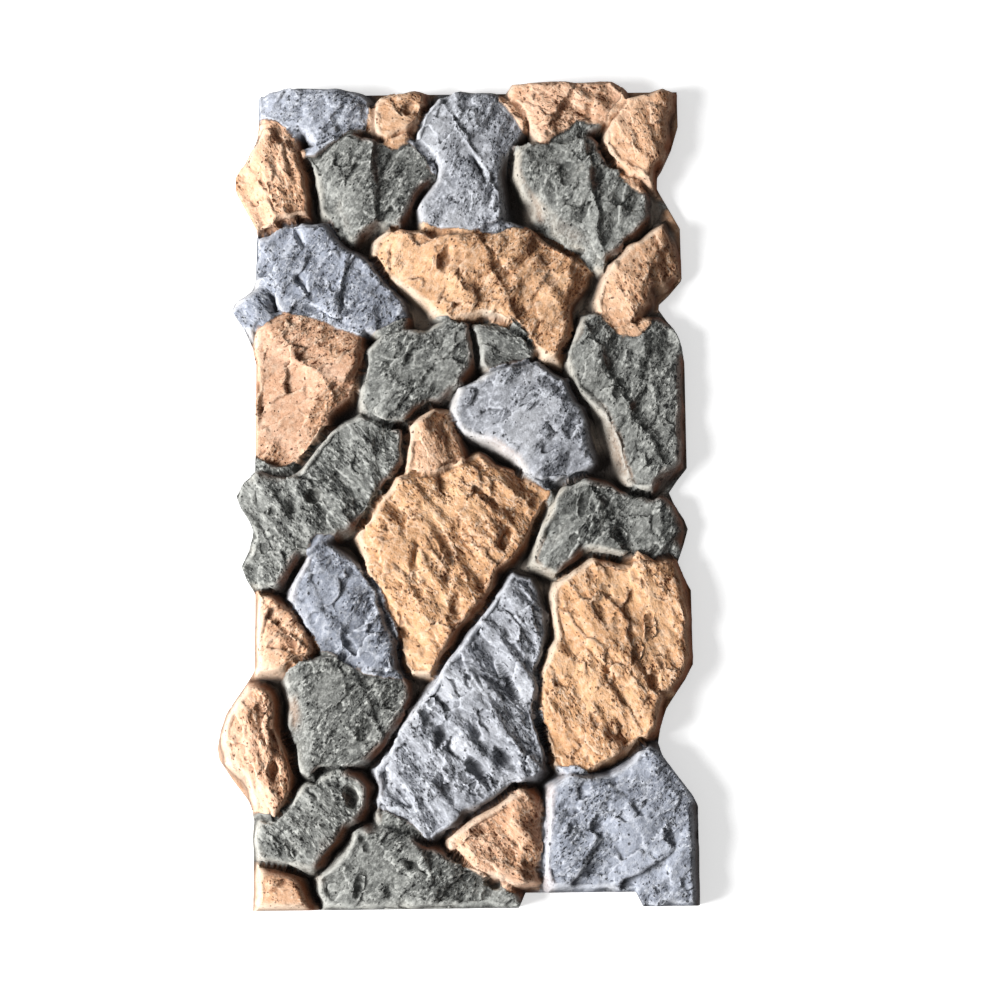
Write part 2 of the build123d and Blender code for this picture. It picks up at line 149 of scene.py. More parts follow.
STONES = {
    "corner_slate": Stone(((-285, 568), (-185, 560)), Paint.BLUE, -35, 0.8, 0.8, 0.3, 0.2),
    "left_knuckle": Stone(((-280, 515), (-300, 455), (-285, 410)), Paint.TAN, 60, 0.8, 1.0, -0.3, 0.6),
    "dark_wedge": Stone(((-210, 480), (-160, 400), (-90, 490)), Paint.CHARCOAL, -50, 1, 0, 0, 0.5),
    "small_sandstone": Stone(((-120, 560), (-85, 560)), Paint.TAN, 20, 0.9, -0.2, 0.3, 0.6),
    "top_slate": Stone(((-50, 540), (30, 550), (0, 470), (0, 410), (-45, 400)),
        Paint.BLUE, -60, 0.9, 0.2, 0.8, 0.3),
    "tab_stone": Stone(((120, 535), (95, 572), (205, 580)), Paint.TAN, 25, 0.9, 0.9, -0.4, 0.6),
    "corner_sandstone": Stone(((270, 570), (250, 520), (250, 475)), Paint.TAN, 65, 0.9, 1.0, 0.1, 0.6),
    "dark_saddle": Stone(((100, 480), (160, 500), (215, 420), (185, 355), (130, 400)),
        Paint.CHARCOAL, -60, 1.2, 0.4, 0, 1),
    "right_spur": Stone(((275, 350), (240, 310), (215, 260)), Paint.TAN, 60, 0.9, 0.4, 0.2, 0.6),
    "broad_slate": Stone(((-280, 340), (-230, 350), (-190, 300), (-130, 250), (-240, 290)),
        Paint.BLUE, -50, 0.9, 0.2, -0.3, 0.3),
    "left_chip": Stone(((-325, 262), (-305, 265)), Paint.BLUE, 30, 0.5, 0.9, 0, 0.6),
    "grained_sandstone": Stone(((-280, 220), (-200, 200), (-230, 130), (-280, 60)),
        Paint.TAN, -35, 1.1, 0.1, -0.5, 0.6),
    "great_sandstone": Stone(((-120, 345), (-40, 300), (60, 350), (140, 310), (90, 260), (115, 215)),
        Paint.TAN, -50, 1, 0.4, 0.5, 0.9),
    "brown_boulder": Stone(((-130, 190), (-30, 200), (-70, 150), (-135, 115)),
        Paint.CHARCOAL, -45, 1, -0.3, 0, 0.3),
    "dark_chip": Stone(((25, 222), (35, 185), (70, 200)), Paint.CHARCOAL, 30, 0.9, -1.0, 0, 0.1),
    "dark_tower": Stone(((170, 210), (200, 150), (260, 40), (270, 210)),
        Paint.CHARCOAL, -60, 1.2, -0.45, 0, 0.5),
    "grey_boulder": Stone(((0, 105), (90, 150), (140, 80), (140, 30), (70, 50)),
        Paint.BLUE, -45, 1.1, 0.1, 0.8, 0.85),
    "small_wedge": Stone(((-50, 90), (-70, 35), (-35, 40)), Paint.TAN, 70, 0.9, -0.1, 0, 0.6),
    "long_dark_stone": Stone(((-120, 70), (-180, 30), (-240, -30), (-315, -15), (-285, -90), (-300, -130)),
        Paint.CHARCOAL, 50, 1.1, -0.1, 0, 0.3),
    "heart_sandstone": Stone(((-140, -60), (0, 20), (90, -20), (30, -100), (-75, -250), (-140, -90)),
        Paint.TAN, 45, 1.1, 0.35, 0.6, 0.6),
    "right_knuckle": Stone(((110, -115), (140, -60), (190, -30), (275, -60), (260, -100)),
        Paint.CHARCOAL, -50, 1.1, -0.2, 0, 0.8),
    "leaning_slate": Stone(((-225, -110), (-235, -165), (-190, -240), (-130, -250), (-160, -160)),
        Paint.BLUE, -50, 0.9, -1.0, 0.1, 0.3),
    "left_tile": Stone(((-290, -180), (-250, -230), (-290, -250)), Paint.TAN, -40, 0.9, 0.7, -0.2, 0.6),
    "charcoal_boulder": Stone(((-235, -270), (-120, -290), (-150, -370), (-235, -390)),
        Paint.CHARCOAL, -45, 1, -0.35, 0, 0.15),
    "left_shoulder_stone": Stone(((-305, -310), (-330, -375), (-285, -400), (-285, -450)),
        Paint.TAN, 70, 1.1, 0.6, -0.5, 0.6),
    "cracked_stone": Stone(((-285, -500), (-245, -450), (-175, -425), (-230, -515)),
        Paint.CHARCOAL, 45, 1, -0.15, 0, 0.3),
    "corner_block": Stone(((-290, -560), (-255, -575)), Paint.TAN, 10, 0.7, 0, 0, 0.6),
    "bottom_rubble": Stone(((-195, -570), (-140, -510), (-50, -550), (30, -583)),
        Paint.CHARCOAL, -40, 1.1, -0.1, 0, 0.2),
    "ridged_slate": Stone(((75, -160), (60, -290), (75, -380), (-50, -480), (-110, -440), (-90, -380),
        (30, -230)), Paint.BLUE, 50, 1.3, 0.6, 0.8, 0.1),
    "amber_sandstone": Stone(((150, -150), (270, -150), (270, -260), (200, -360), (130, -390), (120, -200)),
        Paint.TAN, 60, 1.1, 0.35, 0.6, 0.9),
    "triangle_stone": Stone(((60, -460), (60, -540), (-10, -515)), Paint.TAN, 45, 1, 0.7, -0.4, 0.6),
    "stepped_slate": Stone(((240, -410), (280, -470), (280, -570), (130, -550), (120, -450)),
        Paint.BLUE, -40, 0.9, 0.3, 0.2, 0.3),
}


@dataclass(frozen=True)
class Cleft:
    """A crack or slot in a stone, along a line of points in mm."""

    points: tuple
    depth: float = 5.0
    width: float = 4.0


@dataclass(frozen=True)
class Pit:
    """A hollow in a stone: middle, half sizes and turn of its rim."""

    x: float
    y: float
    long: float
    wide: float
    depth: float = 6.0
    turn: float = 0.0


@dataclass(frozen=True)
class Ridge:
    """A crest that stands above its surroundings, along a line of points in mm."""

    points: tuple
    rise: float = 3.0
    width: float = 16.0


@dataclass(frozen=True)
class Step:
    """A broken edge: right of the line, seen along it, the face drops and slopes back up."""

    points: tuple
    drop: float = 4.0
    run: float = 34.0


MARKS = (
    Cleft(((-280, 565), (-276, 580)), 3, 3),
    Ridge(((-165, 588), (-195, 562), (-213, 535), (-225, 522)), 3, 14),
    Cleft(((-310, 465), (-300, 440)), 4, 3),
    Cleft(((-298, 452), (-288, 430), (-275, 420))),
    Cleft(((-272, 510), (-268, 480), (-255, 455))),
    Pit(-84, 560, 9, 6, 6, 30),
    Ridge(((-143, 500), (-146, 465), (-140, 430))),
    Step(((-38, 578), (-20, 535), (5, 495), (35, 450)), 4, 40),
    Pit(-50, 403, 8, 5, 4),
    Cleft(((147, 578), (130, 555), (120, 540), (110, 525))),
    Pit(180, 560, 16, 7, 5, 90),
    Ridge(((180, 490), (178, 450), (195, 430), (215, 400)), 5, 22),
    Ridge(((268, 330), (258, 295)), 4, 14),
    Step(((-190, 300), (-190, 283), (-170, 250)), 4, 26),
    Ridge(((-280, 195), (-225, 165), (-205, 140)), 4, 18),
    Pit(-190, 142, 9, 6, 6),
    Ridge(((-55, 350), (-20, 300), (10, 270)), 5, 20),
    Ridge(((45, 295), (55, 260), (65, 225)), 6, 24),
    Step(((35, 350), (48, 328), (60, 310)), 4, 24),
    Ridge(((90, 315), (118, 275), (135, 255)), 4, 18),
    Pit(50, 370, 12, 7, 5, 20),
    Pit(110, 348, 22, 10, 5, -30),
    Step(((-105, 140), (-95, 130), (-85, 120)), 4, 24),
    Step(((2, 155), (10, 168), (18, 178)), 4, 18),
    Cleft(((205, 125), (210, 138), (215, 150)), 6, 5),
    Ridge(((100, 135), (120, 118), (140, 100)), 4, 16),
    Pit(100, 153, 9, 6, 6, 50),
    Cleft(((-289, -28), (-288, -47)), 7),
    Cleft(((-305, -83), (-303, -97))),
    Pit(-282, -125, 18, 10, 3, 20),
    Pit(-245, -88, 8, 5, 8, 80),
    Ridge(((-188, -35), (-170, -52)), 3, 18),
    Pit(-80, -163, 7, 5, 6),
    Cleft(((-22, -50), (-10, -70), (0, -90))),
    Pit(-38, -138, 9, 5, 6, 80),
    Cleft(((-105, -173), (-104, -217))),
    Pit(-72, -250, 16, 6, 5, 85),
    Pit(-55, -215, 11, 6, 5, 85),
    Cleft(((10, -138), (15, -152))),
    Cleft(((10, -20), (18, -26), (27, -30)), 4, 3),
    Cleft(((15, -32), (24, -46), (32, -60)), 4, 3),
    Pit(68, -20, 8, 5, 5),
    Pit(87, -28, 5, 4, 5),
    Pit(-102, -28, 8, 14, 4),
    Pit(-118, -65, 6, 5, 5),
    Cleft(((-140, -98), (-134, -115), (-127, -132))),
    Cleft(((180, -20), (190, -28), (198, -35))),
    Cleft(((160, -25), (158, -40), (155, -55))),
    Cleft(((172, -30), (173, -60))),
    Pit(212, -60, 7, 5, 6),
    Pit(125, -116, 5, 4, 4),
    Ridge(((-240, -168), (-205, -200), (-170, -240)), 4, 18),
    Pit(-185, -238, 8, 4, 5, 80),
    Pit(-240, -168, 6, 4, 5, 30),
    Cleft(((-225, -175), (-200, -188), (-185, -202)), 3),
    Step(((-298, -194), (-275, -205), (-255, -222), (-243, -240)), 5, 22),
    Cleft(((-258, -224), (-258, -241)), 6),
    Step(((-160, -335), (-148, -342), (-133, -360)), 5, 24),
    Pit(-212, -390, 14, 6, 4),
    Pit(-228, -285, 6, 4, 5),
    Pit(-215, -300, 6, 5, 5, 30),
    Pit(-198, -292, 5, 4, 4),
    Pit(-190, -318, 7, 5, 5, 60),
    Pit(-206, -325, 6, 4, 5),
    Cleft(((-305, -298), (-304, -332)), 6),
    Cleft(((-300, -353), (-292, -366), (-284, -382))),
    Pit(-315, -388, 5, 4, 5),
    Pit(-318, -405, 5, 4, 5),
    Cleft(((-236, -430), (-229, -441), (-222, -452)), 6),
    Step(((-250, -525), (-265, -510), (-268, -490)), 4, 18),
    Cleft(((-265, -482), (-248, -475), (-232, -468)), 3, 3),
    Cleft(((-190, -438), (-190, -452)), 6),
    Pit(-287, -505, 9, 5, 5, -60),
    Pit(-271, -520, 7, 4, 5),
    Cleft(((-220, -471), (-203, -469), (-185, -471)), 6, 3),
    Cleft(((-267, -556), (-273, -565), (-281, -574))),
    Cleft(((-158, -495), (-154, -508), (-149, -520)), 6),
    Pit(-127, -505, 6, 5, 6),
    Pit(-72, -525, 5, 4, 5),
    Pit(-62, -574, 7, 4, 6, 40),
    Cleft(((-100, -574), (-80, -583), (-60, -580)), 4),
    Cleft(((-165, -558), (-165, -584)), 6, 5),
    Pit(-200, -570, 6, 4, 4),
    Cleft(((10, -584), (20, -574)), 4, 3),
    Cleft(((-5, -262), (10, -272), (35, -288), (60, -312)), 5, 5),
    Pit(37, -297, 9, 6, 8, 80),
    Cleft(((0, -274), (6, -286), (12, -298))),
    Cleft(((-62, -300), (-64, -318))),
    Cleft(((-68, -330), (-70, -348))),
    Cleft(((-88, -345), (-89, -362))),
    Cleft(((-5, -334), (0, -350), (5, -366))),
    Pit(16, -381, 10, 6, 6, 30),
    Cleft(((-17, -410), (-4, -428), (12, -446))),
    Pit(-38, -408, 6, 4, 5),
    Pit(-10, -450, 5, 4, 5),
    Pit(-35, -454, 10, 4, 5, 85),
    Cleft(((72, -383), (71, -413)), 6, 5),
    Pit(168, -133, 13, 5, 6, 90),
    Pit(205, -175, 6, 5, 5),
    Pit(230, -138, 9, 5, 6, 80),
    Pit(237, -160, 5, 4, 5),
    Ridge(((205, -180), (190, -215), (175, -250)), 3, 18),
    Cleft(((250, -193), (251, -227)), 7),
    Cleft(((235, -238), (228, -252), (219, -267)), 6),
    Cleft(((262, -254), (267, -276))),
    Cleft(((240, -319), (249, -310), (259, -301))),
    Cleft(((187, -266), (188, -292)), 6),
    Pit(195, -380, 6, 4, 5),
    Pit(155, -398, 8, 4, 5, 85),
    Pit(-5, -488, 4, 3, 4),
    Pit(11, -492, 4, 3, 4),
    Pit(32, -511, 6, 3, 4, -20),
    Pit(65, -540, 12, 6, 6, -60),
    Cleft(((218, -450), (225, -464), (232, -477))),
    Pit(265, -477, 4, 3, 4),
    Pit(257, -495, 4, 3, 4),
    Pit(112, -445, 4, 3, 4),
    Pit(140, -437, 4, 3, 4),
    Cleft(((133, -485), (128, -502))),
    Cleft(((192, -437), (212, -448)), 3, 3),
    Cleft(((250, -569), (258, -581))),
    Cleft(((290, -558), (290, -577))),
)


def value_noise(x: np.ndarray, y: np.ndarray, size: float, seed: int) -> np.ndarray:
    """Smooth noise between -1 and 1 over the face.

    Args:
        x: places across the face, in mm.
        y: places along the face, in mm.
        size: distance between two of its random values, in mm.
        seed: which noise it is.

    Returns:
        The noise at each place.
    """
    table = np.random.default_rng(seed).uniform(-1, 1, (256, 256))
    u, v = x / size, y / size
    i, j = np.floor(u).astype(int), np.floor(v).astype(int)
    fu, fv = u - i, v - j
    su, sv = fu * fu * (3 - 2 * fu), fv * fv * (3 - 2 * fv)
    low = table[i % 256, j % 256] * (1 - su) + table[(i + 1) % 256, j % 256] * su
    high = table[i % 256, (j + 1) % 256] * (1 - su) + table[(i + 1) % 256, (j + 1) % 256] * su
    return low * (1 - sv) + high * sv


def box_blur(values: np.ndarray, reach: int) -> np.ndarray:
    """Mean over a square window of 2 * reach + 1 grid points, with the border repeated."""
    for axis in (0, 1):
        padded = np.pad(values, [(reach + 1, reach) if a == axis else (0, 0) for a in (0, 1)], mode="edge")
        total = np.cumsum(padded, axis=axis)
        width = 2 * reach + 1
        count = values.shape[axis]
        upper = np.take(total, range(width, width + count), axis=axis)
        values = (upper - np.take(total, range(count), axis=axis)) / width
    return values


def smooth_step(values: np.ndarray, start: float, full: float) -> np.ndarray:
    """0 up to the start, 1 from full on and a smooth change between them, upwards or downwards."""
    share = np.clip((values - start) / (full - start), 0, 1)
    return share * share * (3 - 2 * share)


def along_line(x: np.ndarray, y: np.ndarray, points: tuple) -> tuple[np.ndarray, np.ndarray, np.ndarray]:
    """Where each place lies beside a line of points.

    Args:
        x: places across the face, in mm.
        y: places along the face, in mm.
        points: corners of the line, in mm.

    Returns:
        Distance to the line, signed side of it (right is positive) and share of its length.
    """
    nearest = np.full(x.shape, np.inf)
    side = np.zeros(x.shape)
    share = np.zeros(x.shape)
    lengths = [math.dist(a, b) for a, b in zip(points, points[1:])]
    run = 0.0
    for (ax, ay), (bx, by), length in zip(points, points[1:], lengths):
        dx, dy = (bx - ax) / length, (by - ay) / length
        t = np.clip((x - ax) * dx + (y - ay) * dy, 0, length)
        distance = np.hypot(x - ax - t * dx, y - ay - t * dy)
        closer = distance < nearest
        nearest = np.where(closer, distance, nearest)
        side = np.where(closer, (x - ax) * dy - (y - ay) * dx, side)
        share = np.where(closer, (run + t) / sum(lengths), share)
        run += length
    return nearest, side, share


@dataclass
class FaceGrid:
    """The stone face as a grid of heights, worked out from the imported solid.

    All sizes are in mm, and pitch is the grid's spacing. wander and ripple say how far the
    stones' straight edges are bent, each over its own size, and soft and crisp how far the
    rounding at their shoulders reaches. Where two stones meet, a joint is opened over
    joint_reach, down to joint_depth below the highest crown, and the smooth sides of the
    stones lie within side_reach of it. Two stones are told apart by a climb: a path costs e
    times as much for each climb that it runs below the crowns, down to deepest. The pairs
    say where a share begins and where it is full.
    """

    solid: bpy.types.Object
    pitch: float
    wander: float = 2.4
    wander_size: float = 18.0
    ripple: float = 0.2
    ripple_size: float = 5.5
    soft: float = 4.2
    crisp: float = 1.6
    joint_reach: float = 2.6
    joint_depth: float = 17.0
    side_reach: float = 6.0
    climb: float = 4.0
    deepest: float = 44.0
    soft_share: tuple = (-0.5, 0.8)
    joint_edge: tuple = (0.12, 0.50)
    side_edge: tuple = (0.004, 0.03)
    evened: tuple = (0.1, 0.6)
    x: np.ndarray = field(init=False)
    y: np.ndarray = field(init=False)
    height: np.ndarray = field(init=False)
    inside: np.ndarray = field(init=False)
    raw: np.ndarray = field(init=False)
    stone: np.ndarray = field(init=False)
    joint: np.ndarray = field(init=False)
    side: np.ndarray = field(init=False)

    def build(self) -> None:
        """Samples the solid, bends and rounds its edges, finds the stones and cuts the marks."""
        self.lay_out()
        self.sample()
        self.find_stones()
        self.round_shoulders()
        self.open_joints()
        self.cut_marks()

    def lay_out(self) -> None:
        """Lays the grid over the whole box of the panel, with a margin all round."""
        low, high = cad_box
        margin = MARGIN_CELLS * self.pitch
        across = np.arange(low[0] / MM - FACE_X - margin, high[0] / MM - FACE_X + margin, self.pitch)
        along = np.arange(low[1] / MM - FACE_Y - margin, high[1] / MM - FACE_Y + margin, self.pitch)
        self.x, self.y = np.meshgrid(across, along, indexing="ij")

    def noise(self, size: float, seed: int) -> np.ndarray:
        """Smooth noise over the grid, with features of a size in mm."""
        return value_noise(self.x, self.y, size, seed)

    def blur_inside(self, values: np.ndarray, cells: int) -> np.ndarray:
        """Smooths values over the panel by a number of grid points, leaving out what lies beside it."""
        weight = self.inside.astype(float)
        total = values * weight
        for _ in range(3):
            total = box_blur(total, cells)
            weight = box_blur(weight, cells)
        return total / np.maximum(weight, TINY)

    def blurred(self, values: np.ndarray, reach: float) -> np.ndarray:
        """Smooths values over a reach in mm."""
        return self.blur_inside(values, max(1, round(reach / self.pitch / BLUR_SPREAD)))

    def ray_heights(self, tree: BVHTree, x: np.ndarray, y: np.ndarray) -> np.ndarray:
        """Heights in mm of the solid's front at each place, or nan beside it."""
        above = cad_box[1][2] + RAY_START
        down = Vector((0, 0, -1))
        heights = np.full(x.size, np.nan)
        places = zip(((x + FACE_X) * MM).ravel(), ((y + FACE_Y) * MM).ravel())
        for index, (px, py) in enumerate(places):
            hit = tree.ray_cast(Vector((px, py, above)), down)[0]
            if hit is not None:
                heights[index] = hit.z / MM
        return heights.reshape(x.shape)

    def sample(self) -> None:
        """Reads the front of the solid, with the straight edges of the stones bent a little."""
        mesh = bmesh.new()
        mesh.from_mesh(self.solid.data)
        tree = BVHTree.FromBMesh(mesh)
        mesh.free()
        straight = self.ray_heights(tree, self.x, self.y)
        self.inside = ~np.isnan(straight)
        shifts = [self.wander * self.noise(self.wander_size, seed)
                  + self.ripple * self.noise(self.ripple_size, seed + 1) for seed in (11, 13)]
        bent = self.ray_heights(tree, self.x + shifts[0], self.y + shifts[1])
        height = np.where(np.isnan(bent), straight, bent)
        self.raw = np.nan_to_num(height)
        self.height = np.where(self.inside, height, self.blur_inside(self.raw, BESIDE_CELLS))

    def find_stones(self) -> None:
        """Gives each grid point the number of the stone it belongs to.

        From the middle of each crown a path is grown that costs more the lower it runs, so
        that two stones meet along the bottom of the joint between them.
        """
        owner = np.full(self.x.shape, -1)
        cost = np.exp(np.clip(cad_box[1][2] / MM - self.raw, 0, self.deepest) / self.climb)
        queue: list[tuple[float, int, int, int]] = []
        for number, stone in enumerate(STONES.values()):
            for i, j in self.spine_cells(stone):
                heapq.heappush(queue, (0.0, i, j, number))
        rows, columns = owner.shape
        while queue:
            total, i, j, number = heapq.heappop(queue)
            if owner[i, j] >= 0:
                continue
            owner[i, j] = number
            for a, b in ((i + 1, j), (i - 1, j), (i, j + 1), (i, j - 1)):
                if 0 <= a < rows and 0 <= b < columns and owner[a, b] < 0:
                    heapq.heappush(queue, (total + cost[a, b], a, b, number))
        self.stone = owner

    def spine_cells(self, stone: Stone) -> list[tuple[int, int]]:
        """Grid points along the middle of a stone's crown."""
        cells = []
        for (ax, ay), (bx, by) in zip(stone.spine, stone.spine[1:]):
            steps = max(1, round(math.dist((ax, ay), (bx, by)) / self.pitch))
            for step in range(steps + 1):
                x, y = ax + (bx - ax) * step / steps, ay + (by - ay) * step / steps
                cells.append((round((x - self.x[0, 0]) / self.pitch), round((y - self.y[0, 0]) / self.pitch)))
        return cells

    def round_shoulders(self) -> None:
        """Rounds the crown edges, more in some places than in others."""
        crisp = self.blurred(self.height, self.crisp)
        soft = self.blurred(self.height, self.soft)
        mix = smooth_step(self.noise(24, 21) + 0.4 * self.noise(9, 22), *self.soft_share)
        rounded = crisp * (1 - mix) + soft * mix
        self.height = np.where(self.inside, np.minimum(self.height, rounded), rounded)

    def open_joints(self) -> None:
        """Cuts a narrow joint wherever two stones touch, so that each one stands alone."""
        edge = np.zeros(self.x.shape)
        edge[:-1] = np.maximum(edge[:-1], self.stone[:-1] != self.stone[1:])
        edge[:, :-1] = np.maximum(edge[:, :-1], self.stone[:, :-1] != self.stone[:, 1:])
        near, around = (self.blur_inside(edge, max(1, round(reach / self.pitch)))
                        for reach in (self.joint_reach, self.side_reach))
        self.joint = self.blur_inside(smooth_step(near / near.max(), *self.joint_edge), 1)
        self.side = smooth_step(around, *self.side_edge)
        bottom = cad_box[1][2] / MM - self.joint_depth
        self.height -= self.joint * np.clip(self.height - bottom, 0, None)
        even = self.blur_inside(self.height, 1)
        self.height += smooth_step(self.joint, *self.evened) * (even - self.height)

    def window(self, points: tuple, margin: float) -> tuple[slice, slice]:
        """The part of the grid that lies within a margin of some points."""
        slices = []
        for places, first in zip(zip(*points), (self.x[0, 0], self.y[0, 0])):
            start = int((min(places) - margin - first) / self.pitch)
            end = int((max(places) + margin - first) / self.pitch) + 2
            slices.append(slice(max(start, 0), end))
        return tuple(slices)

    def cut_marks(self) -> None:
        """Cuts the clefts and pits into the stones and raises their ridges, all with uneven edges."""
        (fine, fine_size), (broad, broad_size) = MARK_RAGGED
        for number, mark in enumerate(MARKS):
            points = ((mark.x, mark.y),) if isinstance(mark, Pit) else mark.points
            area = self.window(points, MARK_MARGIN)
            x, y = self.x[area], self.y[area]
            x = (x + fine * value_noise(x, y, fine_size, 31 + number)
                 + broad * value_noise(x, y, broad_size, 331 + number))
            y = (y + fine * value_noise(x, y, fine_size, 631 + number)
                 + broad * value_noise(x, y, broad_size, 931 + number))
            self.height[area] += self.mark_height(mark, x, y)

    def mark_height(self, mark: Cleft | Pit | Ridge | Step, x: np.ndarray, y: np.ndarray) -> np.ndarray:
        """How much one mark lifts each place near it, in mm."""
        if isinstance(mark, Pit):
            turn = math.radians(mark.turn)
            dx, dy = x - mark.x, y - mark.y
            u = (dx * math.cos(turn) + dy * math.sin(turn)) / mark.long
            v = (dy * math.cos(turn) - dx * math.sin(turn)) / mark.wide
            return -PIT_SHARE * mark.depth * smooth_step(np.hypot(u, v), PIT_RIM, 0)
        distance, side, share = along_line(x, y, mark.points)
        if isinstance(mark, Cleft):
            taper = np.sqrt(np.clip(4.2 * share * (1 - share) + 0.1, 0, 1))
            return -CLEFT_SHARE * mark.depth * taper * smooth_step(distance, mark.width, 0)
        ends = smooth_step(share, -0.02, 0.2) * smooth_step(share, 1.02, 0.8)
        if isinstance(mark, Ridge):
            return mark.rise * ends * np.clip(1 - distance / mark.width, 0, 1)
        fall = smooth_step(side, -0.8, 1.6) * np.clip(1 - distance / mark.run, 0, 1)
        return -mark.drop * ends * fall


@dataclass(frozen=True)
class Signal:
    """A number on its way through a node tree. Arithmetic with it adds the nodes for it."""

    canvas: Canvas
    socket: bpy.types.NodeSocket

    def __add__(self, other: Signal | float) -> Signal:
        """This number and another."""
        return self.canvas.maths("ADD", self, other)

    def __sub__(self, other: Signal | float) -> Signal:
        """This number less another."""
        return self.canvas.maths("SUBTRACT", self, other)

    def __rsub__(self, other: float) -> Signal:
        """Another number less this one."""
        return self.canvas.maths("SUBTRACT", other, self)

    def __mul__(self, other: Signal | float) -> Signal:
        """This number times another."""
        return self.canvas.maths("MULTIPLY", self, other)

    def __rtruediv__(self, other: float) -> Signal:
        """Another number over this one."""
        return self.canvas.maths("DIVIDE", other, self)


@dataclass
class Canvas:
    """A node tree in the making, for geometry or for a material."""

    tree: bpy.types.NodeTree

    def add(self, kind: str, inputs: dict | None = None, **settings) -> bpy.types.Node:
        """Adds a node.

        Args:
            kind: the node's type name.
            inputs: for each input, by name or number, a value or what feeds it.
            settings: the node's own properties.

        Returns:
            The new node.
        """
        node = self.tree.nodes.new(kind)
        for name, value in settings.items():
            setattr(node, name, value)
        for key, value in (inputs or {}).items():
            if isinstance(value, Signal):
                self.tree.links.new(value.socket, node.inputs[key])
            else:
                node.inputs[key].default_value = value
        return node

    def take(self, kind: str, inputs: dict | None = None, output: int | str = 0, **settings) -> Signal:
        """Adds a node and takes one of its outputs."""
        return Signal(self, self.add(kind, inputs, **settings).outputs[output])

    def take_all(self, kind: str, inputs: dict | None = None) -> dict[str, Signal]:
        """Adds a node and takes all its outputs, by name."""
        return {socket.name: Signal(self, socket) for socket in self.add(kind, inputs).outputs}

    def maths(self, operation: str, a, b, clamp: bool = False) -> Signal:
        """One step of arithmetic."""
        return self.take("ShaderNodeMath", {0: a, 1: b}, operation=operation, use_clamp=clamp)

    def vector(self, operation: str, a, b=(0.0, 0.0, 0.0)) -> Signal:
        """One step of arithmetic on vectors; SCALE takes a number as its second value."""
        key = "Scale" if operation == "SCALE" else 1
        output = "Value" if operation in ("DOT_PRODUCT", "LENGTH") else 0
        return self.take("ShaderNodeVectorMath", {0: a, key: b}, output, operation=operation)

    def combine(self, x=0.0, y=0.0, z=0.0) -> Signal:
        """A vector from three numbers."""
        return self.take("ShaderNodeCombineXYZ", {0: x, 1: y, 2: z})

    def spread(self, value, low, high) -> Signal:
        """0 at low, 1 at high, with a smooth rise between them."""
        inputs = {"Value": value, "From Min": low, "From Max": high}
        return self.take("ShaderNodeMapRange", inputs, interpolation_type="SMOOTHSTEP")

    def blend(self, under, over, share) -> Signal:
        """Lays one colour over another by a share from 0 to 1."""
        return self.take("ShaderNodeMix", {0: share, 6: under, 7: over}, 2, data_type="RGBA")

    def channel(self, colour: Signal, number: int) -> Signal:
        """Red, green or blue of a colour, by number from 0."""
        kind = "ShaderNodeSeparateColor" if self.tree.type == "SHADER" else "FunctionNodeSeparateColor"
        return self.take(kind, {"Color": colour}, number)

    def places(self, kind: str, output: int | str = 0) -> Signal:
        """Places in mm, from a node that gives them in metres."""
        return self.vector("SCALE", self.take(kind, output=output), 1 / MM)

    def turned(self, place: Signal, angle: Signal) -> Signal:
        """Places turned about the vertical, in radians."""
        return self.take("ShaderNodeVectorRotate", {"Vector": place, "Angle": angle}, rotation_type="Z_AXIS")

    def noise(self, place, size, detail: float = 2.0, rough: float = 0.5, output: int = 0) -> Signal:
        """Noise with features of about the given size in mm, over places in mm."""
        inputs = {"Vector": place, "Scale": 1.0 / size, "Detail": detail, "Roughness": rough}
        return self.take("ShaderNodeTexNoise", inputs, output)

    def bent(self, place, size, reach) -> Signal:
        """Places in mm, moved about by up to a reach so that a pattern's lines are not straight."""
        away = self.vector("SUBTRACT", self.noise(place, size, output=1), MIDDLE)
        return self.vector("ADD", place, self.vector("SCALE", away, reach))

    def cells(self, place, size) -> dict[str, Signal]:
        """Irregular cells of about the given size in mm."""
        scaled = self.vector("SCALE", place, 1.0 / size)
        return self.take_all("ShaderNodeTexVoronoi", {"Vector": scaled, "Scale": 1.0})

    def bowls(self, place, size, share, rim: float, floor: float) -> Signal:
        """Small bowls, each in a cell of its own.

        Args:
            place: places in mm.
            size: size of the cells in mm.
            share: how many of the cells have a bowl, from 0 to 1.
            rim: how far from its middle a bowl ends, in cells.
            floor: how far its flat floor reaches, in cells.

        Returns:
            1 on the floor of a bowl and 0 outside it.
        """
        cells = self.cells(place, size)
        chosen = self.maths("LESS_THAN", self.channel(cells["Color"], 0), share)
        return self.spread(cells["Distance"], rim, floor) * chosen

    def surface(self, colour: Signal, height: Signal, depth: float, strength: float, look: dict) -> None:
        """Ends a material with a matt, bumpy surface.

        Args:
            colour: its colour.
            height: height of its bumps, from 0 to 1.
            depth: what 1 stands for, in mm.
            strength: how strongly the bumps show.
            look: other inputs of the surface, by name.
        """
        bump = self.take("ShaderNodeBump", {"Height": height, "Strength": strength, "Distance": depth * MM})
        inputs = {"Base Color": colour, "IOR": FOAM_IOR, "Normal": bump, **look}
        self.add("ShaderNodeOutputMaterial", {"Surface": self.take("ShaderNodeBsdfPrincipled", inputs)})

    def seen(self) -> Signal:
        """1 for what the camera sees, directly or in a reflection or through glass, and 0 for light."""
        rays = self.take_all("ShaderNodeLightPath")
        direct = self.maths("MAXIMUM", rays["Is Camera Ray"], rays["Is Glossy Ray"])
        return self.maths("MAXIMUM", direct, rays["Is Transmission Ray"])


def blank(owner: bpy.types.Material | bpy.types.World) -> Canvas:
    """Empties the node tree of a material or a world."""
    owner.use_nodes = True
    owner.node_tree.nodes.clear()
    return Canvas(owner.node_tree)


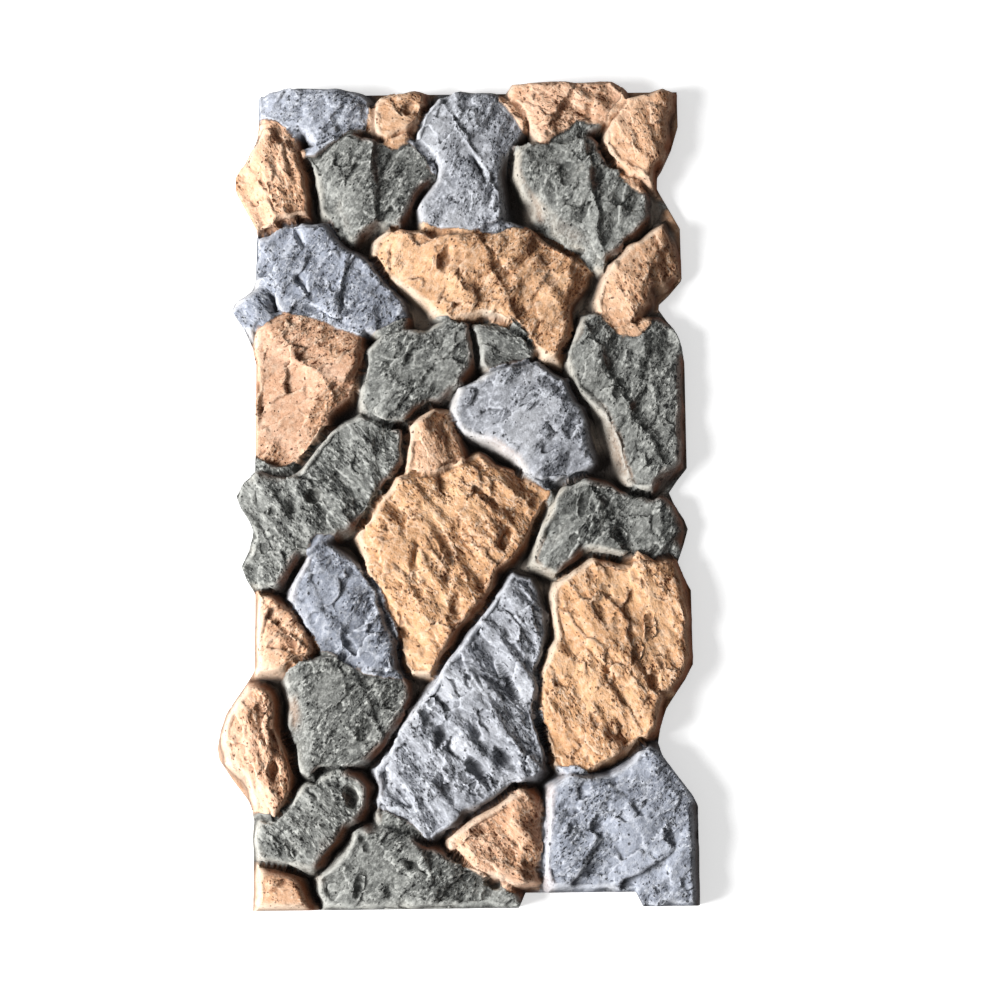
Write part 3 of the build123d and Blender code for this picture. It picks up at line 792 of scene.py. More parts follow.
def add_object(name: str, data: bpy.types.ID) -> bpy.types.Object:
    """Puts a mesh, lamp or camera into the scene."""
    item = bpy.data.objects.new(name, data)
    bpy.context.scene.collection.objects.link(item)
    return item


def bake(piece: bpy.types.Object, modifier: bpy.types.Modifier) -> None:
    """Gives a piece the mesh that its modifier makes of it, and removes the modifier."""
    graph = bpy.context.evaluated_depsgraph_get()
    made = bpy.data.meshes.new_from_object(piece.evaluated_get(graph))
    piece.modifiers.remove(modifier)
    old = piece.data
    piece.data = made
    bpy.data.meshes.remove(old)


def linear(colour: str) -> tuple[float, float, float, float]:
    """Turns an sRGB hex colour into linear light."""
    channels = [int(colour[i:i + 2], 16) / 255 for i in (1, 3, 5)]
    return (*[c / 12.92 if c <= 0.04045 else ((c + 0.055) / 1.055) ** 2.4 for c in channels], 1.0)


@dataclass
class ReliefTree:
    """Geometry Nodes that carve the fine relief of cast stone into the face.

    Each size is a named input of the tree: heights, depths and sizes in mm.
    """

    facet_size: float = 34.0
    facet_height: float = 14.0
    chip_size: float = 13.0
    chip_height: float = 4.4
    flake_size: float = 26.0
    flake_tilt: float = 0.16
    flake_step: float = 1.1
    grain_length: float = 40.0
    grain_width: float = 6.0
    grain_height: float = 2.0
    pit_size: float = 8.5
    pit_depth: float = 1.5
    grit_size: float = 4.0
    grit_height: float = 1.2
    sink: float = 3.4
    seed: int = 7
    canvas: Canvas = field(init=False)
    given: dict[str, Signal] = field(init=False)
    place: Signal = field(init=False)

    def sizes(self) -> list[str]:
        """Names of the fields that become number inputs of the tree."""
        return [each.name for each in fields(self) if each.init and each.name != "seed"]

    def build(self) -> bpy.types.NodeTree:
        """Makes the tree, with its inputs, and joins its layers into one displacement.

        Returns:
            The node group.
        """
        tree = bpy.data.node_groups.new("cast_stone_relief", "GeometryNodeTree")
        sockets = {"Geometry": "Geometry", **dict.fromkeys(self.sizes(), "Float"), "seed": "Int",
                   "material": "Material"}
        for name, kind in sockets.items():
            tree.interface.new_socket(name, in_out="INPUT", socket_type="NodeSocket" + kind)
        tree.interface.new_socket("Geometry", in_out="OUTPUT", socket_type="NodeSocketGeometry")
        self.canvas = Canvas(tree)
        self.given = self.canvas.take_all("NodeGroupInput")
        self.place = self.stone_space()
        rough = self.attribute("rough")
        broad = self.facets("facet_size", "facet_height", 0.0) + self.flakes()
        small = self.facets("chip_size", "chip_height", 9.0) + self.grain()
        pecked = self.pits(rough) + self.grit()
        total = broad + small * (rough * 0.8 + 0.35) + pecked
        self.finish((total - self.given["sink"]) * self.attribute("relief"))
        return tree

    def attribute(self, name: str) -> Signal:
        """Reads a number that the mesh carries at its points."""
        return self.canvas.take("GeometryNodeInputNamedAttribute", {"Name": name}, data_type="FLOAT")

    def stone_space(self) -> Signal:
        """Places in mm, turned to each stone's grain and moved apart so that no two stones match."""
        canvas = self.canvas
        turned = canvas.turned(canvas.places("GeometryNodeInputPosition"), self.attribute("grain"))
        stone = self.attribute("stone")
        shift = canvas.combine(*(stone * apart for apart in STONE_SHIFT), self.given["seed"] * SEED_SHIFT)
        return canvas.vector("ADD", turned, shift)

    def facets(self, size: str, height: str, shift: float) -> Signal:
        """Broken faces that meet in sharp edges: random heights on a bent triangle grid, joined by planes.

        Args:
            size: input with the grid's spacing.
            height: input with the height from the lowest to the highest corner.
            shift: moves the grid, so that two layers differ.

        Returns:
            Their height in mm.
        """
        canvas = self.canvas
        size = self.given[size]
        bent = canvas.bent(self.place, size * 1.2, size)
        scaled = canvas.vector("SCALE", canvas.vector("MULTIPLY", bent, FACETS_ALONG), 1.0 / size)
        skew = canvas.vector("DOT_PRODUCT", scaled, (TRIANGLE_SKEW, TRIANGLE_SKEW, 0.0))
        skewed = canvas.vector("ADD", scaled, canvas.combine(skew, skew, shift))
        cell = canvas.vector("FLOOR", skewed)
        part = canvas.take_all("ShaderNodeSeparateXYZ", {0: canvas.vector("FRACTION", skewed)})
        major, minor, across = (canvas.maths(operation, part["X"], part["Y"])
                                for operation in ("MAXIMUM", "MINIMUM", "GREATER_THAN"))
        side = canvas.combine(across, 1.0 - across)
        corners = (cell, canvas.vector("ADD", cell, side), canvas.vector("ADD", cell, (1.0, 1.0, 0.0)))
        level = 0.0
        for corner, share in zip(corners, (1.0 - major, major - minor, minor)):
            level = canvas.take("ShaderNodeTexWhiteNoise", {"Vector": corner}, "Value") * share + level
        return (level - 0.5) * self.given[height]

    def flakes(self) -> Signal:
        """Scars where flakes came off: cells that lean their own way and end in a small step."""
        canvas = self.canvas
        size = self.given["flake_size"]
        bent = canvas.vector("MULTIPLY", canvas.bent(self.place, size * 0.9, size * 0.7), FLAKES_ALONG)
        cells = canvas.cells(bent, size)
        away = canvas.vector("SUBTRACT", canvas.vector("SCALE", bent, 1.0 / size), cells["Position"])
        lean = canvas.vector("SUBTRACT", cells["Color"], MIDDLE)
        slope = canvas.vector("DOT_PRODUCT", away, lean) * self.given["flake_tilt"]
        level = canvas.channel(cells["Color"], 2)
        return slope * size * 2.0 + (level - 0.5) * self.given["flake_step"]

    def grain(self) -> Signal:
        """Bedding lines along each stone's own direction."""
        width = 1.0 / self.given["grain_width"]
        stretch = self.canvas.combine(1.0 / self.given["grain_length"], width, width)
        streaks = self.canvas.noise(self.canvas.vector("MULTIPLY", self.place, stretch), 1.0, 3.0, 0.6)
        return (streaks - 0.5) * (self.given["grain_height"] * 2.0)

    def pits(self, rough: Signal) -> Signal:
        """Pecks and pits: few where the stone is smooth, many where it is rough."""
        size = self.given["pit_size"]
        long = self.canvas.vector("MULTIPLY", self.canvas.bent(self.place, size, size), PITS_ALONG)
        bowls = self.canvas.bowls(long, size, rough * 0.2 + 0.03, 0.40, 0.14)
        return bowls * (self.given["pit_depth"] * -1.0)

    def grit(self) -> Signal:
        """The finest roughness that the mesh can carry."""
        grains = self.canvas.noise(self.place, self.given["grit_size"], 2.0, 0.6)
        return (grains - 0.5) * (self.given["grit_height"] * 2.0)

    def finish(self, rise: Signal) -> None:
        """Moves the surface along its normals and dresses the result.

        Args:
            rise: height of the relief at each point, in mm.
        """
        canvas = self.canvas
        offset = canvas.vector("SCALE", canvas.take("GeometryNodeInputNormal"), rise * MM)
        moved = canvas.take("GeometryNodeSetPosition", {"Geometry": self.given["Geometry"], "Offset": offset})
        realized = canvas.take("GeometryNodeRealizeInstances", {0: moved})
        inputs = {"Geometry": realized, "Material": self.given["material"]}
        canvas.add("NodeGroupOutput", {0: canvas.take("GeometryNodeSetMaterial", inputs)})

    def apply(self, piece: bpy.types.Object, material: bpy.types.Material) -> None:
        """Carves the relief into a piece and dresses it.

        Args:
            piece: the mesh object to carve.
            material: what the tree dresses it in.
        """
        modifier = piece.modifiers.new("relief", "NODES")
        modifier.node_group = self.build()
        values = {name: getattr(self, name) for name in (*self.sizes(), "seed")}
        values["material"] = material
        for socket in modifier.node_group.interface.items_tree:
            if socket.in_out == "INPUT" and socket.name in values:
                modifier[socket.identifier] = values[socket.name]
        bake(piece, modifier)


@dataclass(frozen=True)
class Coat:
    """One paint: its shades on the crown, its wash in hollows, and for its sides pale painted light towards
    the lamp and brown painted shade away from it.
    """

    middle: str
    dark: str
    pale: str
    wash: str
    # side is pale painted light for the sides that face the lamp, foot brown painted shade for those away
    # from it.
    side: str
    foot: str


@dataclass(frozen=True)
class PaintedFoam:
    """Rigid polyurethane foam, cast against stone moulds and sprayed and brushed with matt acrylic.

    The skin has no gloss. The casting is sprayed tan all over, then each stone in its own
    colour from above, then the joints and hollows dark. The pale on the sides that face the
    lamp is painted light, and a tan coat is laid on the slopes that face it; the brown and
    dark on the sides away from it are painted shade and painted shadow.
    Sizes are in mm. A peck has its size and its share of the cells on smooth and rough stone.
    The ends are where a pattern begins and where it is full, and the shares how much of the
    coat below each pattern covers.
    """

    name: str = "painted polyurethane foam, cast and brushed"
    tan: Coat = Coat("#E2B898", "#B07C52", "#F3D8BE", "#55290F", "#E3D2BE", "#74401F")
    blue: Coat = Coat("#AEB4C2", "#565A65", "#E6E9F0", "#181A20", "#D6D2CE", "#3A302D")
    charcoal: Coat = Coat("#898A86", "#3E403E", "#D3D4CE", "#0F0F0E", "#D0C8BA", "#6A4028")
    pink: str = "#E5B9A1"
    amber: str = "#E4B27F"
    ash: str = "#B3B4B8"
    joint: str = "#150F0B"
    dust: str = "#8B8177"
    lamp_side_tan: str = "#B98C6A"
    cloud_size: float = 70.0
    fleck_size: float = 9.0
    dent_sizes: tuple = (7.5, 3.4)
    pecks_at: tuple = ((6.5, 0.07, 0.30), (3.6, 0.04, 0.26))
    grit_size: float = 2.2
    bump_depth: float = 5.5
    peck_depth: float = 0.35
    cloud_ends: tuple = (0.36, 0.64)
    fleck_ends: tuple = (0.46, 0.70)
    dent_ends: tuple = (0.45, 0.375)
    high_ends: tuple = (0.53, 0.61)
    cloud_share: float = 0.45
    fleck_share: float = 0.55
    lamp_side_tan_share: float = 0.45
    rough_and_shade_share: float = 0.5
    crest_share: float = 0.5
    high_share: float = 0.65
    dent_share: float = 0.95
    peck_share: float = 0.8

    def build(self) -> bpy.types.Material:
        """Makes the material.

        Returns:
            The finished material.
        """
        material = bpy.data.materials.new(self.name)
        canvas = blank(material)
        place = canvas.places("ShaderNodeTexCoord", "Object")
        blue, charcoal, warm, light = self.read(canvas, "paint")
        deep, lamp_side_tan, pit, crest = self.read(canvas, "layer")
        lit, away, dust, rough = self.read(canvas, "tone")
        dark, pale, wash, side, foot = (self.shade(canvas, pick, blue, charcoal)
                                        for pick in ("dark", "pale", "wash", "side", "foot"))
        clouds = canvas.spread(canvas.noise(place, self.cloud_size, 3.0, 0.55), *self.cloud_ends)
        flecks = canvas.spread(canvas.noise(place, self.fleck_size, 4.0, 0.65), *self.fleck_ends)
        pecks = self.pecks(canvas, place, rough)
        level, height = self.dents(canvas, place)
        coarse = rough * 0.9 + (charcoal * 0.12 - blue * 0.05 + 0.4)
        low = canvas.spread(level, *self.dent_ends) * coarse
        high = canvas.spread(level, *self.high_ends) * coarse
        colour = canvas.blend(self.crown(canvas, blue, charcoal, warm), dark, clouds * self.cloud_share)
        colour = canvas.blend(colour, pale, flecks * self.fleck_share)
        colour = canvas.vector("SCALE", colour, light * 0.5 + 0.75)
        hollows = canvas.maths("MAXIMUM", pit, low * self.dent_share)
        layers = (
            # The tan coat on the slopes that face the lamp.
            (linear(self.lamp_side_tan), lamp_side_tan * self.lamp_side_tan_share),
            # Dark coat on rough patches, and painted shade on facets away from the lamp.
            (dark, rough * self.rough_and_shade_share),
            (pale, crest * self.crest_share),
            (pale, high * self.high_share),
            # Painted light on the sides that face the lamp, painted shade on those away from it.
            (side, lit),
            (foot, away),
            # Dark wash in pits and dents, with painted shade in hollows and on facets away from the lamp.
            (wash, canvas.maths("MAXIMUM", hollows, pecks * self.peck_share)),
            (canvas.blend(linear(self.joint), linear(self.dust), dust), deep),
        )
        for paint, share in layers:
            colour = canvas.blend(colour, paint, share)
        grit = canvas.noise(place, self.grit_size, 2.0, 0.6)
        relief = grit * 0.15 + height * coarse - pecks * self.peck_depth
        canvas.surface(colour, relief, self.bump_depth, 1.0, {"Roughness": 0.85, "Specular IOR Level": 0.3})
        return material

    def read(self, canvas: Canvas, name: str) -> tuple:
        """The four masks that one colour attribute of the mesh carries."""
        found = canvas.add("ShaderNodeAttribute", attribute_name=name).outputs
        parts = canvas.take_all("ShaderNodeSeparateColor", {"Color": Signal(canvas, found["Color"])})
        return *parts.values(), Signal(canvas, found["Alpha"])

    def shade(self, canvas: Canvas, pick: str, blue: Signal, charcoal: Signal) -> Signal:
        """One shade of the three coats, each on its own stones."""
        tan, grey, black = (linear(getattr(coat, pick)) for coat in (self.tan, self.blue, self.charcoal))
        return canvas.blend(canvas.blend(tan, grey, blue), black, charcoal)

    def crown(self, canvas: Canvas, blue: Signal, charcoal: Signal, warm: Signal) -> Signal:
        """The middle shade, moved from tan to pink or amber and from blue to ash."""
        tan = canvas.maths("SUBTRACT", 1.0 - blue, charcoal, True)
        cool, hot = canvas.spread(warm, 0.5, 0.0), canvas.spread(warm, 0.5, 1.0)
        colour = self.shade(canvas, "middle", blue, charcoal)
        for paint, share in ((self.pink, tan * cool), (self.amber, tan * hot), (self.ash, blue * hot)):
            colour = canvas.blend(colour, linear(paint), share)
        return colour

    def dents(self, canvas: Canvas, place: Signal) -> tuple[Signal, Signal]:
        """Small dents and crests, drawn out along each stone's grain.

        Args:
            canvas: the material's tree.
            place: places in mm.

        Returns:
            Their level for the paint and their height for the bump, from 0 to 1.
        """
        grain = canvas.take("ShaderNodeAttribute", output="Fac", attribute_name="grain")
        drawn = canvas.vector("MULTIPLY", canvas.turned(place, grain), DENTS_ALONG)
        broad, fine = (canvas.noise(drawn, size, 2.0, 0.6) for size in self.dent_sizes)
        return broad * 0.4 + fine * 0.6, broad * 0.6 + fine * 0.4

    def pecks(self, canvas: Canvas, place: Signal, rough: Signal) -> Signal:
        """Fine dark pecks in two sizes, dense where the stone is rough and, as painted shade, on facets away
        from the lamp.

        Args:
            canvas: the material's tree.
            place: places in mm.
            rough: share of roughness at each place, with painted shade on facets away from the lamp.

        Returns:
            How deep the pecks are, from 0 to 1.
        """
        total = 0.0
        for size, few, many in self.pecks_at:
            bowls = canvas.bowls(canvas.bent(place, size, size * 0.9), size, rough * many + few, 0.36, 0.18)
            total = canvas.maths("MAXIMUM", total, bowls)
        return total


@dataclass(frozen=True)
class BareFoam:
    """Unpainted back of the casting: the smooth closed skin that the foam forms against a flat lid."""

    name: str = "polyurethane foam, moulded back skin"
    skin: str = "#CFB48C"
    shade: str = "#B99A70"
    cloud_size: float = 70.0
    pore_size: float = 3.8
    pore_depth: float = 0.6

    def build(self) -> bpy.types.Material:
        """Makes the material.

        Returns:
            The finished material.
        """
        material = bpy.data.materials.new(self.name)
        canvas = blank(material)
        place = canvas.places("ShaderNodeTexCoord", "Object")
        cloud = canvas.noise(place, self.cloud_size, 5.0)
        colour = canvas.blend(linear(self.skin), linear(self.shade), cloud)
        pores = canvas.cells(place, self.pore_size)["Distance"]
        canvas.surface(colour, pores, self.pore_depth, 0.25, {"Roughness": 0.7})
        return material


def of_stones(pick: str) -> np.ndarray:
    """One number of every stone, in the order of their table."""
    return np.array([getattr(stone, pick) for stone in STONES.values()])


def read_places(mesh: bpy.types.Mesh) -> np.ndarray:
    """Where a mesh's points lie, in metres."""
    places = np.empty(len(mesh.vertices) * 3, np.float32)
    mesh.vertices.foreach_get("co", places)
    return places.reshape(-1, 3)


def write_places(mesh: bpy.types.Mesh, places: np.ndarray) -> None:
    """Moves a mesh's points to places in metres."""
    mesh.vertices.foreach_set("co", places.astype(np.float32).ravel())
    mesh.update()


def count_triangles(mesh: bpy.types.Mesh) -> int:
    """Triangles in a mesh once its polygons are cut up."""
    return sum(len(polygon.vertices) - 2 for polygon in mesh.polygons)


@dataclass(frozen=True)
class Bands:
    """Where each mask of the relief and the paint begins, and where it is full.

    Heights, depths and widths are in mm, and slopes in rise over run.
    """

    wall: tuple = (0.8, 1.8)
    foot: tuple = (14, 30)
    rim: tuple = (1.0, 8.0)
    patch: tuple = (-0.25, 0.30)
    smooth_side: tuple = (0.12, 0.5)
    outer_side: tuple = (11.5, 8)
    side_slope: tuple = (0.6, 1.2)
    lit: tuple = (-0.1, 0.5)
    away: tuple = (0.0, -0.4)
    away_crown: tuple = (0.22, 0.55)
    away_height: tuple = (40, 30)
    margin: tuple = (11, 5)
    sunny: tuple = (0.05, 0.3)
    sunny_height: tuple = (47, 38)
    deep_height: tuple = (27, 18)
    deep_depth: tuple = (13, 21)
    deep_away: tuple = (38, 27)
    floor_height: tuple = (21, 16)
    floor_depth: tuple = (17, 9)
    dust: tuple = (-0.5, 0.3)
    shade: tuple = (0.06, 0.38)
    pit: tuple = (0.5, 2.0)
    hollow: tuple = (1.2, 4.5)
    speckle: tuple = (-0.4, 0.6)
    crest: tuple = (-0.30, -1.1)
    lamp_side_slope: tuple = (0.45, 1.1)
    lamp_side_tan: tuple = (0.0, 0.6)
    lit_paler: tuple = (0.08, 0.35)


@dataclass
class StonePanel:
    """The whole panel: stone face, moulded sides and flat back, as one closed skin.

    wall_rows is the number of rows on the rim from the back up to the face, and triangles is
    what the finished mesh is thinned to. headroom is kept free below the highest crown, knee
    is where the relief begins to be held down under that, and lowest is the least height of
    the face, all in mm. The reaches say over how many mm the face is smoothed before its
    depth or its slope is read there, and edge_rise is how high its outline counts as a wall.
    """

    solid: bpy.types.Object
    pitch: float
    wall_rows: int = 5
    triangles: int = 190_000
    headroom: float = 0.2
    knee: float = 3.0
    lowest: float = 2.0
    depth_reaches: tuple = (3.0, 9.0, 16.0)
    wall_reach: float = 4.5
    slope_reach: float = 4.0
    form_reach: float = 9.0
    border_reach: float = 14.0
    edge_rise: float = 20.0
    at: Bands = Bands()
    face: FaceGrid = field(init=False)
    used: np.ndarray = field(init=False)
    rim: np.ndarray = field(init=False)
    rough: np.ndarray = field(init=False)
    carved: np.ndarray = field(init=False)

    def build(self) -> bpy.types.Object:
        """Builds and dresses the piece.

        Returns:
            The finished piece.
        """
        self.face = FaceGrid(self.solid, self.pitch)
        self.face.build()
        piece = self.close_skin()
        self.store_relief(piece.data)
        ReliefTree().apply(piece, PaintedFoam().build())
        self.limit_height(piece.data)
        self.store_layers(piece.data)
        self.thin(piece)
        # Thinning can move a point past the solid's box.
        write_places(piece.data, np.clip(read_places(piece.data), *map(np.array, cad_box)))
        self.dress_back(piece.data)
        log.info("stone face: %d triangles", count_triangles(piece.data))
        return piece

    def outline(self) -> np.ndarray:
        """The rim of the back face as line pieces, in mm on the drawn face."""
        mesh = bmesh.new()
        mesh.from_mesh(self.solid.data)
        bmesh.ops.remove_doubles(mesh, verts=mesh.verts, dist=TINY)
        edges = [e for e in mesh.edges if all(v.co.z < TINY for v in e.verts)
                 and sum(f.normal.z < -0.9 for f in e.link_faces) == 1]
        pieces = np.array([[v.co[:2] for v in e.verts] for e in edges]) / MM
        mesh.free()
        return pieces - np.array([FACE_X, FACE_Y])

    def quads(self) -> np.ndarray:
        """Corners of the grid cells that have their middle on the panel, by number of grid point."""
        inside = self.face.inside.astype(int)
        index = np.arange(inside.size).reshape(inside.shape)
        i, j = np.nonzero(inside[:-1, :-1] + inside[1:, :-1] + inside[:-1, 1:] + inside[1:, 1:] >= 3)
        return np.stack([index[i, j], index[i + 1, j], index[i + 1, j + 1], index[i, j + 1]], axis=1)

    def close_skin(self) -> bpy.types.Object:
        """Joins the grid, a rim of small walls and the flat back into one closed mesh."""
        face = self.face
        quads = self.quads()
        self.used, flat = np.unique(quads, return_inverse=True)
        quads = flat.reshape(quads.shape)
        places = np.stack([plane.ravel()[self.used] for plane in (face.x, face.y, face.height)], axis=1)
        self.rim = self.rim_loop(quads)
        self.snap(places, self.rim)
        rings, points, faces = [self.rim], [places], quads.tolist()
        for row in range(1, self.wall_rows + 1):
            ring = places[self.rim].copy()
            ring[:, 2] *= 1 - row / self.wall_rows
            points.append(ring)
            rings.append(np.arange(len(self.rim)) + len(places) + (row - 1) * len(self.rim))
        for upper, lower in zip(rings, rings[1:]):
            faces += np.stack([upper, lower, np.roll(lower, -1), np.roll(upper, -1)], axis=1).tolist()
        corners = [Vector((x, y, 0)) for x, y in places[self.rim, :2]]
        faces += [[int(rings[-1][k]) for k in triangle] for triangle in tessellate_polygon([corners])]
        mesh = bpy.data.meshes.new("stone_face")
        mesh.from_pydata(((np.concatenate(points) + np.array([FACE_X, FACE_Y, 0])) * MM).tolist(), [], faces)
        mesh.validate()
        mesh.update()
        shell = bmesh.new()
        shell.from_mesh(mesh)
        bmesh.ops.recalc_face_normals(shell, faces=shell.faces)
        shell.to_mesh(mesh)
        shell.free()
        mesh.polygons.foreach_set("use_smooth", np.ones(len(mesh.polygons), bool))
        return add_object("stone_face", mesh)

    def rim_loop(self, quads: np.ndarray) -> np.ndarray:
        """Follows the open edge of the grid once round the panel."""
        ends = np.concatenate([quads[:, [k, (k + 1) % 4]] for k in range(4)])
        codes = ends.min(axis=1) * (quads.max() + 1) + ends.max(axis=1)
        _, first, counts = np.unique(codes, return_index=True, return_counts=True)
        after = dict(ends[first[counts == 1]].tolist())
        loop = [next(iter(after))]
        while after[loop[-1]] != loop[0]:
            loop.append(after[loop[-1]])
        return np.array(loop)

    def snap(self, places: np.ndarray, loop: np.ndarray) -> None:
        """Moves the open edge of the grid onto the panel's true outline, corners included."""
        pieces = self.outline()
        starts, ends = pieces[:, 0], pieces[:, 1]
        along = ends - starts
        lengths = (along ** 2).sum(axis=1)
        for vertex in loop:
            point = places[vertex, :2]
            t = np.clip(((point - starts) * along).sum(axis=1) / lengths, 0, 1)
            near = starts + along * t[:, None]
            places[vertex, :2] = near[np.argmin(((near - point) ** 2).sum(axis=1))]
        for corner in np.unique(np.round(pieces.reshape(-1, 2), 3), axis=0):
            gaps = ((places[loop, :2] - corner) ** 2).sum(axis=1)
            places[loop[np.argmin(gaps)], :2] = corner

    def lean(self, heights: np.ndarray, reach: float) -> tuple[np.ndarray, np.ndarray]:
        """How the broad form of the face leans.

        Args:
            heights: heights of the grid in mm.
            reach: what is smoothed over first, in mm.

        Returns:
            Its slope as rise over run, and the part of it that faces the lamp.
        """
        across, along = np.gradient(self.face.blurred(heights, reach), self.face.pitch)
        turn = math.radians(LIGHT_FROM)
        return np.hypot(across, along), -across * math.cos(turn) - along * math.sin(turn)

    def border_distance(self) -> np.ndarray:
        """Rough distance in mm from the panel's outline, up to eight grid points in."""
        near = self.face.inside.astype(float)
        distance = np.zeros(near.shape)
        for _ in range(8):
            distance += near * self.face.pitch
            near = (box_blur(near, 1) > 0.999).astype(float)
        return distance

    def sides(self) -> np.ndarray:
        """1 along joints and outline, where the stones have smooth sides, and less on their crowns."""
        outer = smooth_step(self.border_distance(), *self.at.outer_side)
        return 0.35 + 0.65 * np.maximum(self.face.side, outer)

    def store_relief(self, mesh: bpy.types.Mesh) -> None:
        """Stores what the relief nodes read: its strength, rough patches, the stone and its grain."""
        face = self.face
        steep = self.lean(face.height, self.wall_reach)[0]
        border = self.lean(face.height, self.border_reach)[1]
        wall = smooth_step(steep, *self.at.wall) * self.sides()
        low = smooth_step(face.height, *self.at.foot)
        rim = smooth_step(self.border_distance(), *self.at.rim)
        patch = face.noise(42, 51) + 0.5 * face.noise(17, 52)
        smooth_side = smooth_step(border, *self.at.smooth_side)
        self.rough = smooth_step(patch - 0.9 * border, *self.at.patch) * (1 - 0.8 * smooth_side) * (1 - wall)
        planes = {
            "relief": of_stones("crag")[face.stone] * (1 - 0.85 * wall) * (0.15 + 0.85 * low) * rim,
            "rough": self.rough,
            "grain": np.radians(of_stones("grain"))[face.stone],
            "stone": face.stone + 1.0,
        }
        for name, values in planes.items():
            stored = np.zeros(len(mesh.vertices), np.float32)
            stored[:len(self.used)] = values.ravel()[self.used]
            mesh.attributes.new(name, "FLOAT", "POINT").data.foreach_set("value", stored)

    def limit_height(self, mesh: bpy.types.Mesh) -> None:
        """Keeps the relief below the highest crown of the solid and above the back."""
        places = read_places(mesh)
        top = cad_box[1][2] - self.headroom * MM
        knee = top - self.knee * MM
        high = places[:, 2] > knee
        places[high, 2] = knee + (top - knee) * np.tanh((places[high, 2] - knee) / (top - knee))
        front = places[:len(self.used)]
        front[:, 2] = np.maximum(front[:, 2], self.lowest * MM)
        write_places(mesh, places)
        self.carved = front[:, 2] / MM

    def store_layers(self, mesh: bpy.types.Mesh) -> None:
        """Stores the masks that the paint reads, in three colour attributes."""
        face, at = self.face, self.at
        grid = np.zeros(face.x.size)
        grid[self.used] = self.carved
        grid = grid.reshape(face.x.shape)
        grid = np.where(face.inside, grid, face.blur_inside(grid, 2))
        fine, middling, wide = (face.blurred(grid, reach) - grid for reach in self.depth_reaches)
        steep, towards = self.lean(grid, self.slope_reach)
        ragged = 0.25 * face.noise(14, 61) + 0.15 * face.noise(5, 62)
        wall = smooth_step(steep + ragged, *at.side_slope) * self.sides()
        owner, crown = face.stone, 1 - wall
        blue, charcoal = ((of_stones("paint") == paint)[owner] for paint in (Paint.BLUE, Paint.CHARCOAL))
        warm, light = (0.5 + 0.5 * of_stones(pick)[owner] for pick in ("warm", "light"))
        deep, lit, away = self.sides_and_joints(grid, wide, ragged, wall, towards / np.maximum(steep, 0.2))
        # Painted shade: crowns that lean away from the lamp get the brown of the shaded sides.
        away = np.maximum(away, 0.6 * smooth_step(-towards - 0.4 * (blue | charcoal), *at.away_crown))
        dust = smooth_step(grid, *at.floor_height) * smooth_step(wide, *at.floor_depth)
        dust *= smooth_step(face.noise(33, 64), *at.dust)
        # Painted shade: facets that lean away from the lamp get the dark coat and dark speckles, through
        # rough and pit.
        shade = smooth_step(0.15 * ragged - towards, *at.shade) * crown
        # pit holds the dark wash in small pits, painted shade on the floors of broader hollows, and painted
        # shade speckle on facets away from the lamp.
        pit = smooth_step(fine, *at.pit) + 0.22 * smooth_step(middling, *at.hollow) * crown
        pit = np.clip(pit + 0.3 * shade * smooth_step(face.noise(8, 65), *at.speckle), 0, PIT_LIMIT)
        crest = smooth_step(fine, *at.crest)
        # A tan coat laid on the broad slopes that face the lamp, in patches.
        lamp_side_tan = smooth_step(self.lean(face.height, self.form_reach)[1], *at.lamp_side_slope)
        lamp_side_tan *= smooth_step(face.noise(55, 66), *at.lamp_side_tan)
        # rough holds the real rough patches and the painted shade of facets away from the lamp; facets facing
        # the lamp are painted paler and smoother.
        rough = np.clip(0.7 * self.rough + shade, 0, 1) * crown
        rough *= 1 - 0.65 * smooth_step(towards, *at.lit_paler)
        self.store_colour(mesh, "paint", (blue, charcoal, warm, light))
        self.store_colour(mesh, "layer", (deep, lamp_side_tan, pit, crest))
        self.store_colour(mesh, "tone", (lit, away, dust, rough))
        for name in ("relief", "rough", "stone"):
            mesh.attributes.remove(mesh.attributes[name])

    def sides_and_joints(self, grid: np.ndarray, wide: np.ndarray, ragged: np.ndarray, wall: np.ndarray,
                         facing: np.ndarray) -> tuple[np.ndarray, np.ndarray, np.ndarray]:
        """Where the joints are sprayed dark, and where the stones' sides get pale painted light towards the
        lamp and brown painted shade and dark painted shadow away from it.

        Args:
            grid: heights of the carved face in mm.
            wide: how far it lies below the mean height round about, in mm.
            ragged: noise that makes the borders of a coat uneven.
            wall: share of a stone's side at each place.
            facing: how straight it faces the lamp, from -1 to 1.

        Returns:
            Shares of dark joint with painted shadow, of painted light and of painted shade.
        """
        face, at = self.face, self.at
        # Painted light: pale on the sides that face the lamp, scaled by each stone's own share; painted
        # shade: brown on the sides away from it.
        lit = wall * smooth_step(facing, *at.lit) * of_stones("lit_side_paint")[face.stone]
        away = wall * smooth_step(facing, *at.away)
        level = grid + 5 * face.noise(19, 63)
        deep = np.maximum(smooth_step(level, *at.deep_height), smooth_step(wide + 3 * ragged, *at.deep_depth))
        # Painted shadow: the lower part of the sides away from the lamp is as dark as a joint.
        deep = np.maximum(deep, away * smooth_step(level, *at.deep_away))
        margin = smooth_step(self.border_distance(), *at.margin)
        outward = self.lean(face.inside * self.edge_rise, self.form_reach)[1]
        # Along the outline, painted light on the rim that faces the lamp and painted shade on the rim away
        # from it; the lit rim also loses its dark joint.
        sunny = margin * smooth_step(outward, *at.sunny)
        shaded = margin * smooth_step(outward, *at.away)
        lit = np.maximum(lit, sunny * smooth_step(grid, *at.sunny_height))
        away = np.maximum(away * (1 - sunny), shaded * smooth_step(grid, *at.away_height))
        deep = np.maximum(deep * (1 - 0.85 * margin), face.joint) * (1 - sunny)
        return tuple(face.blur_inside(mask, 1) for mask in (deep, lit, away))

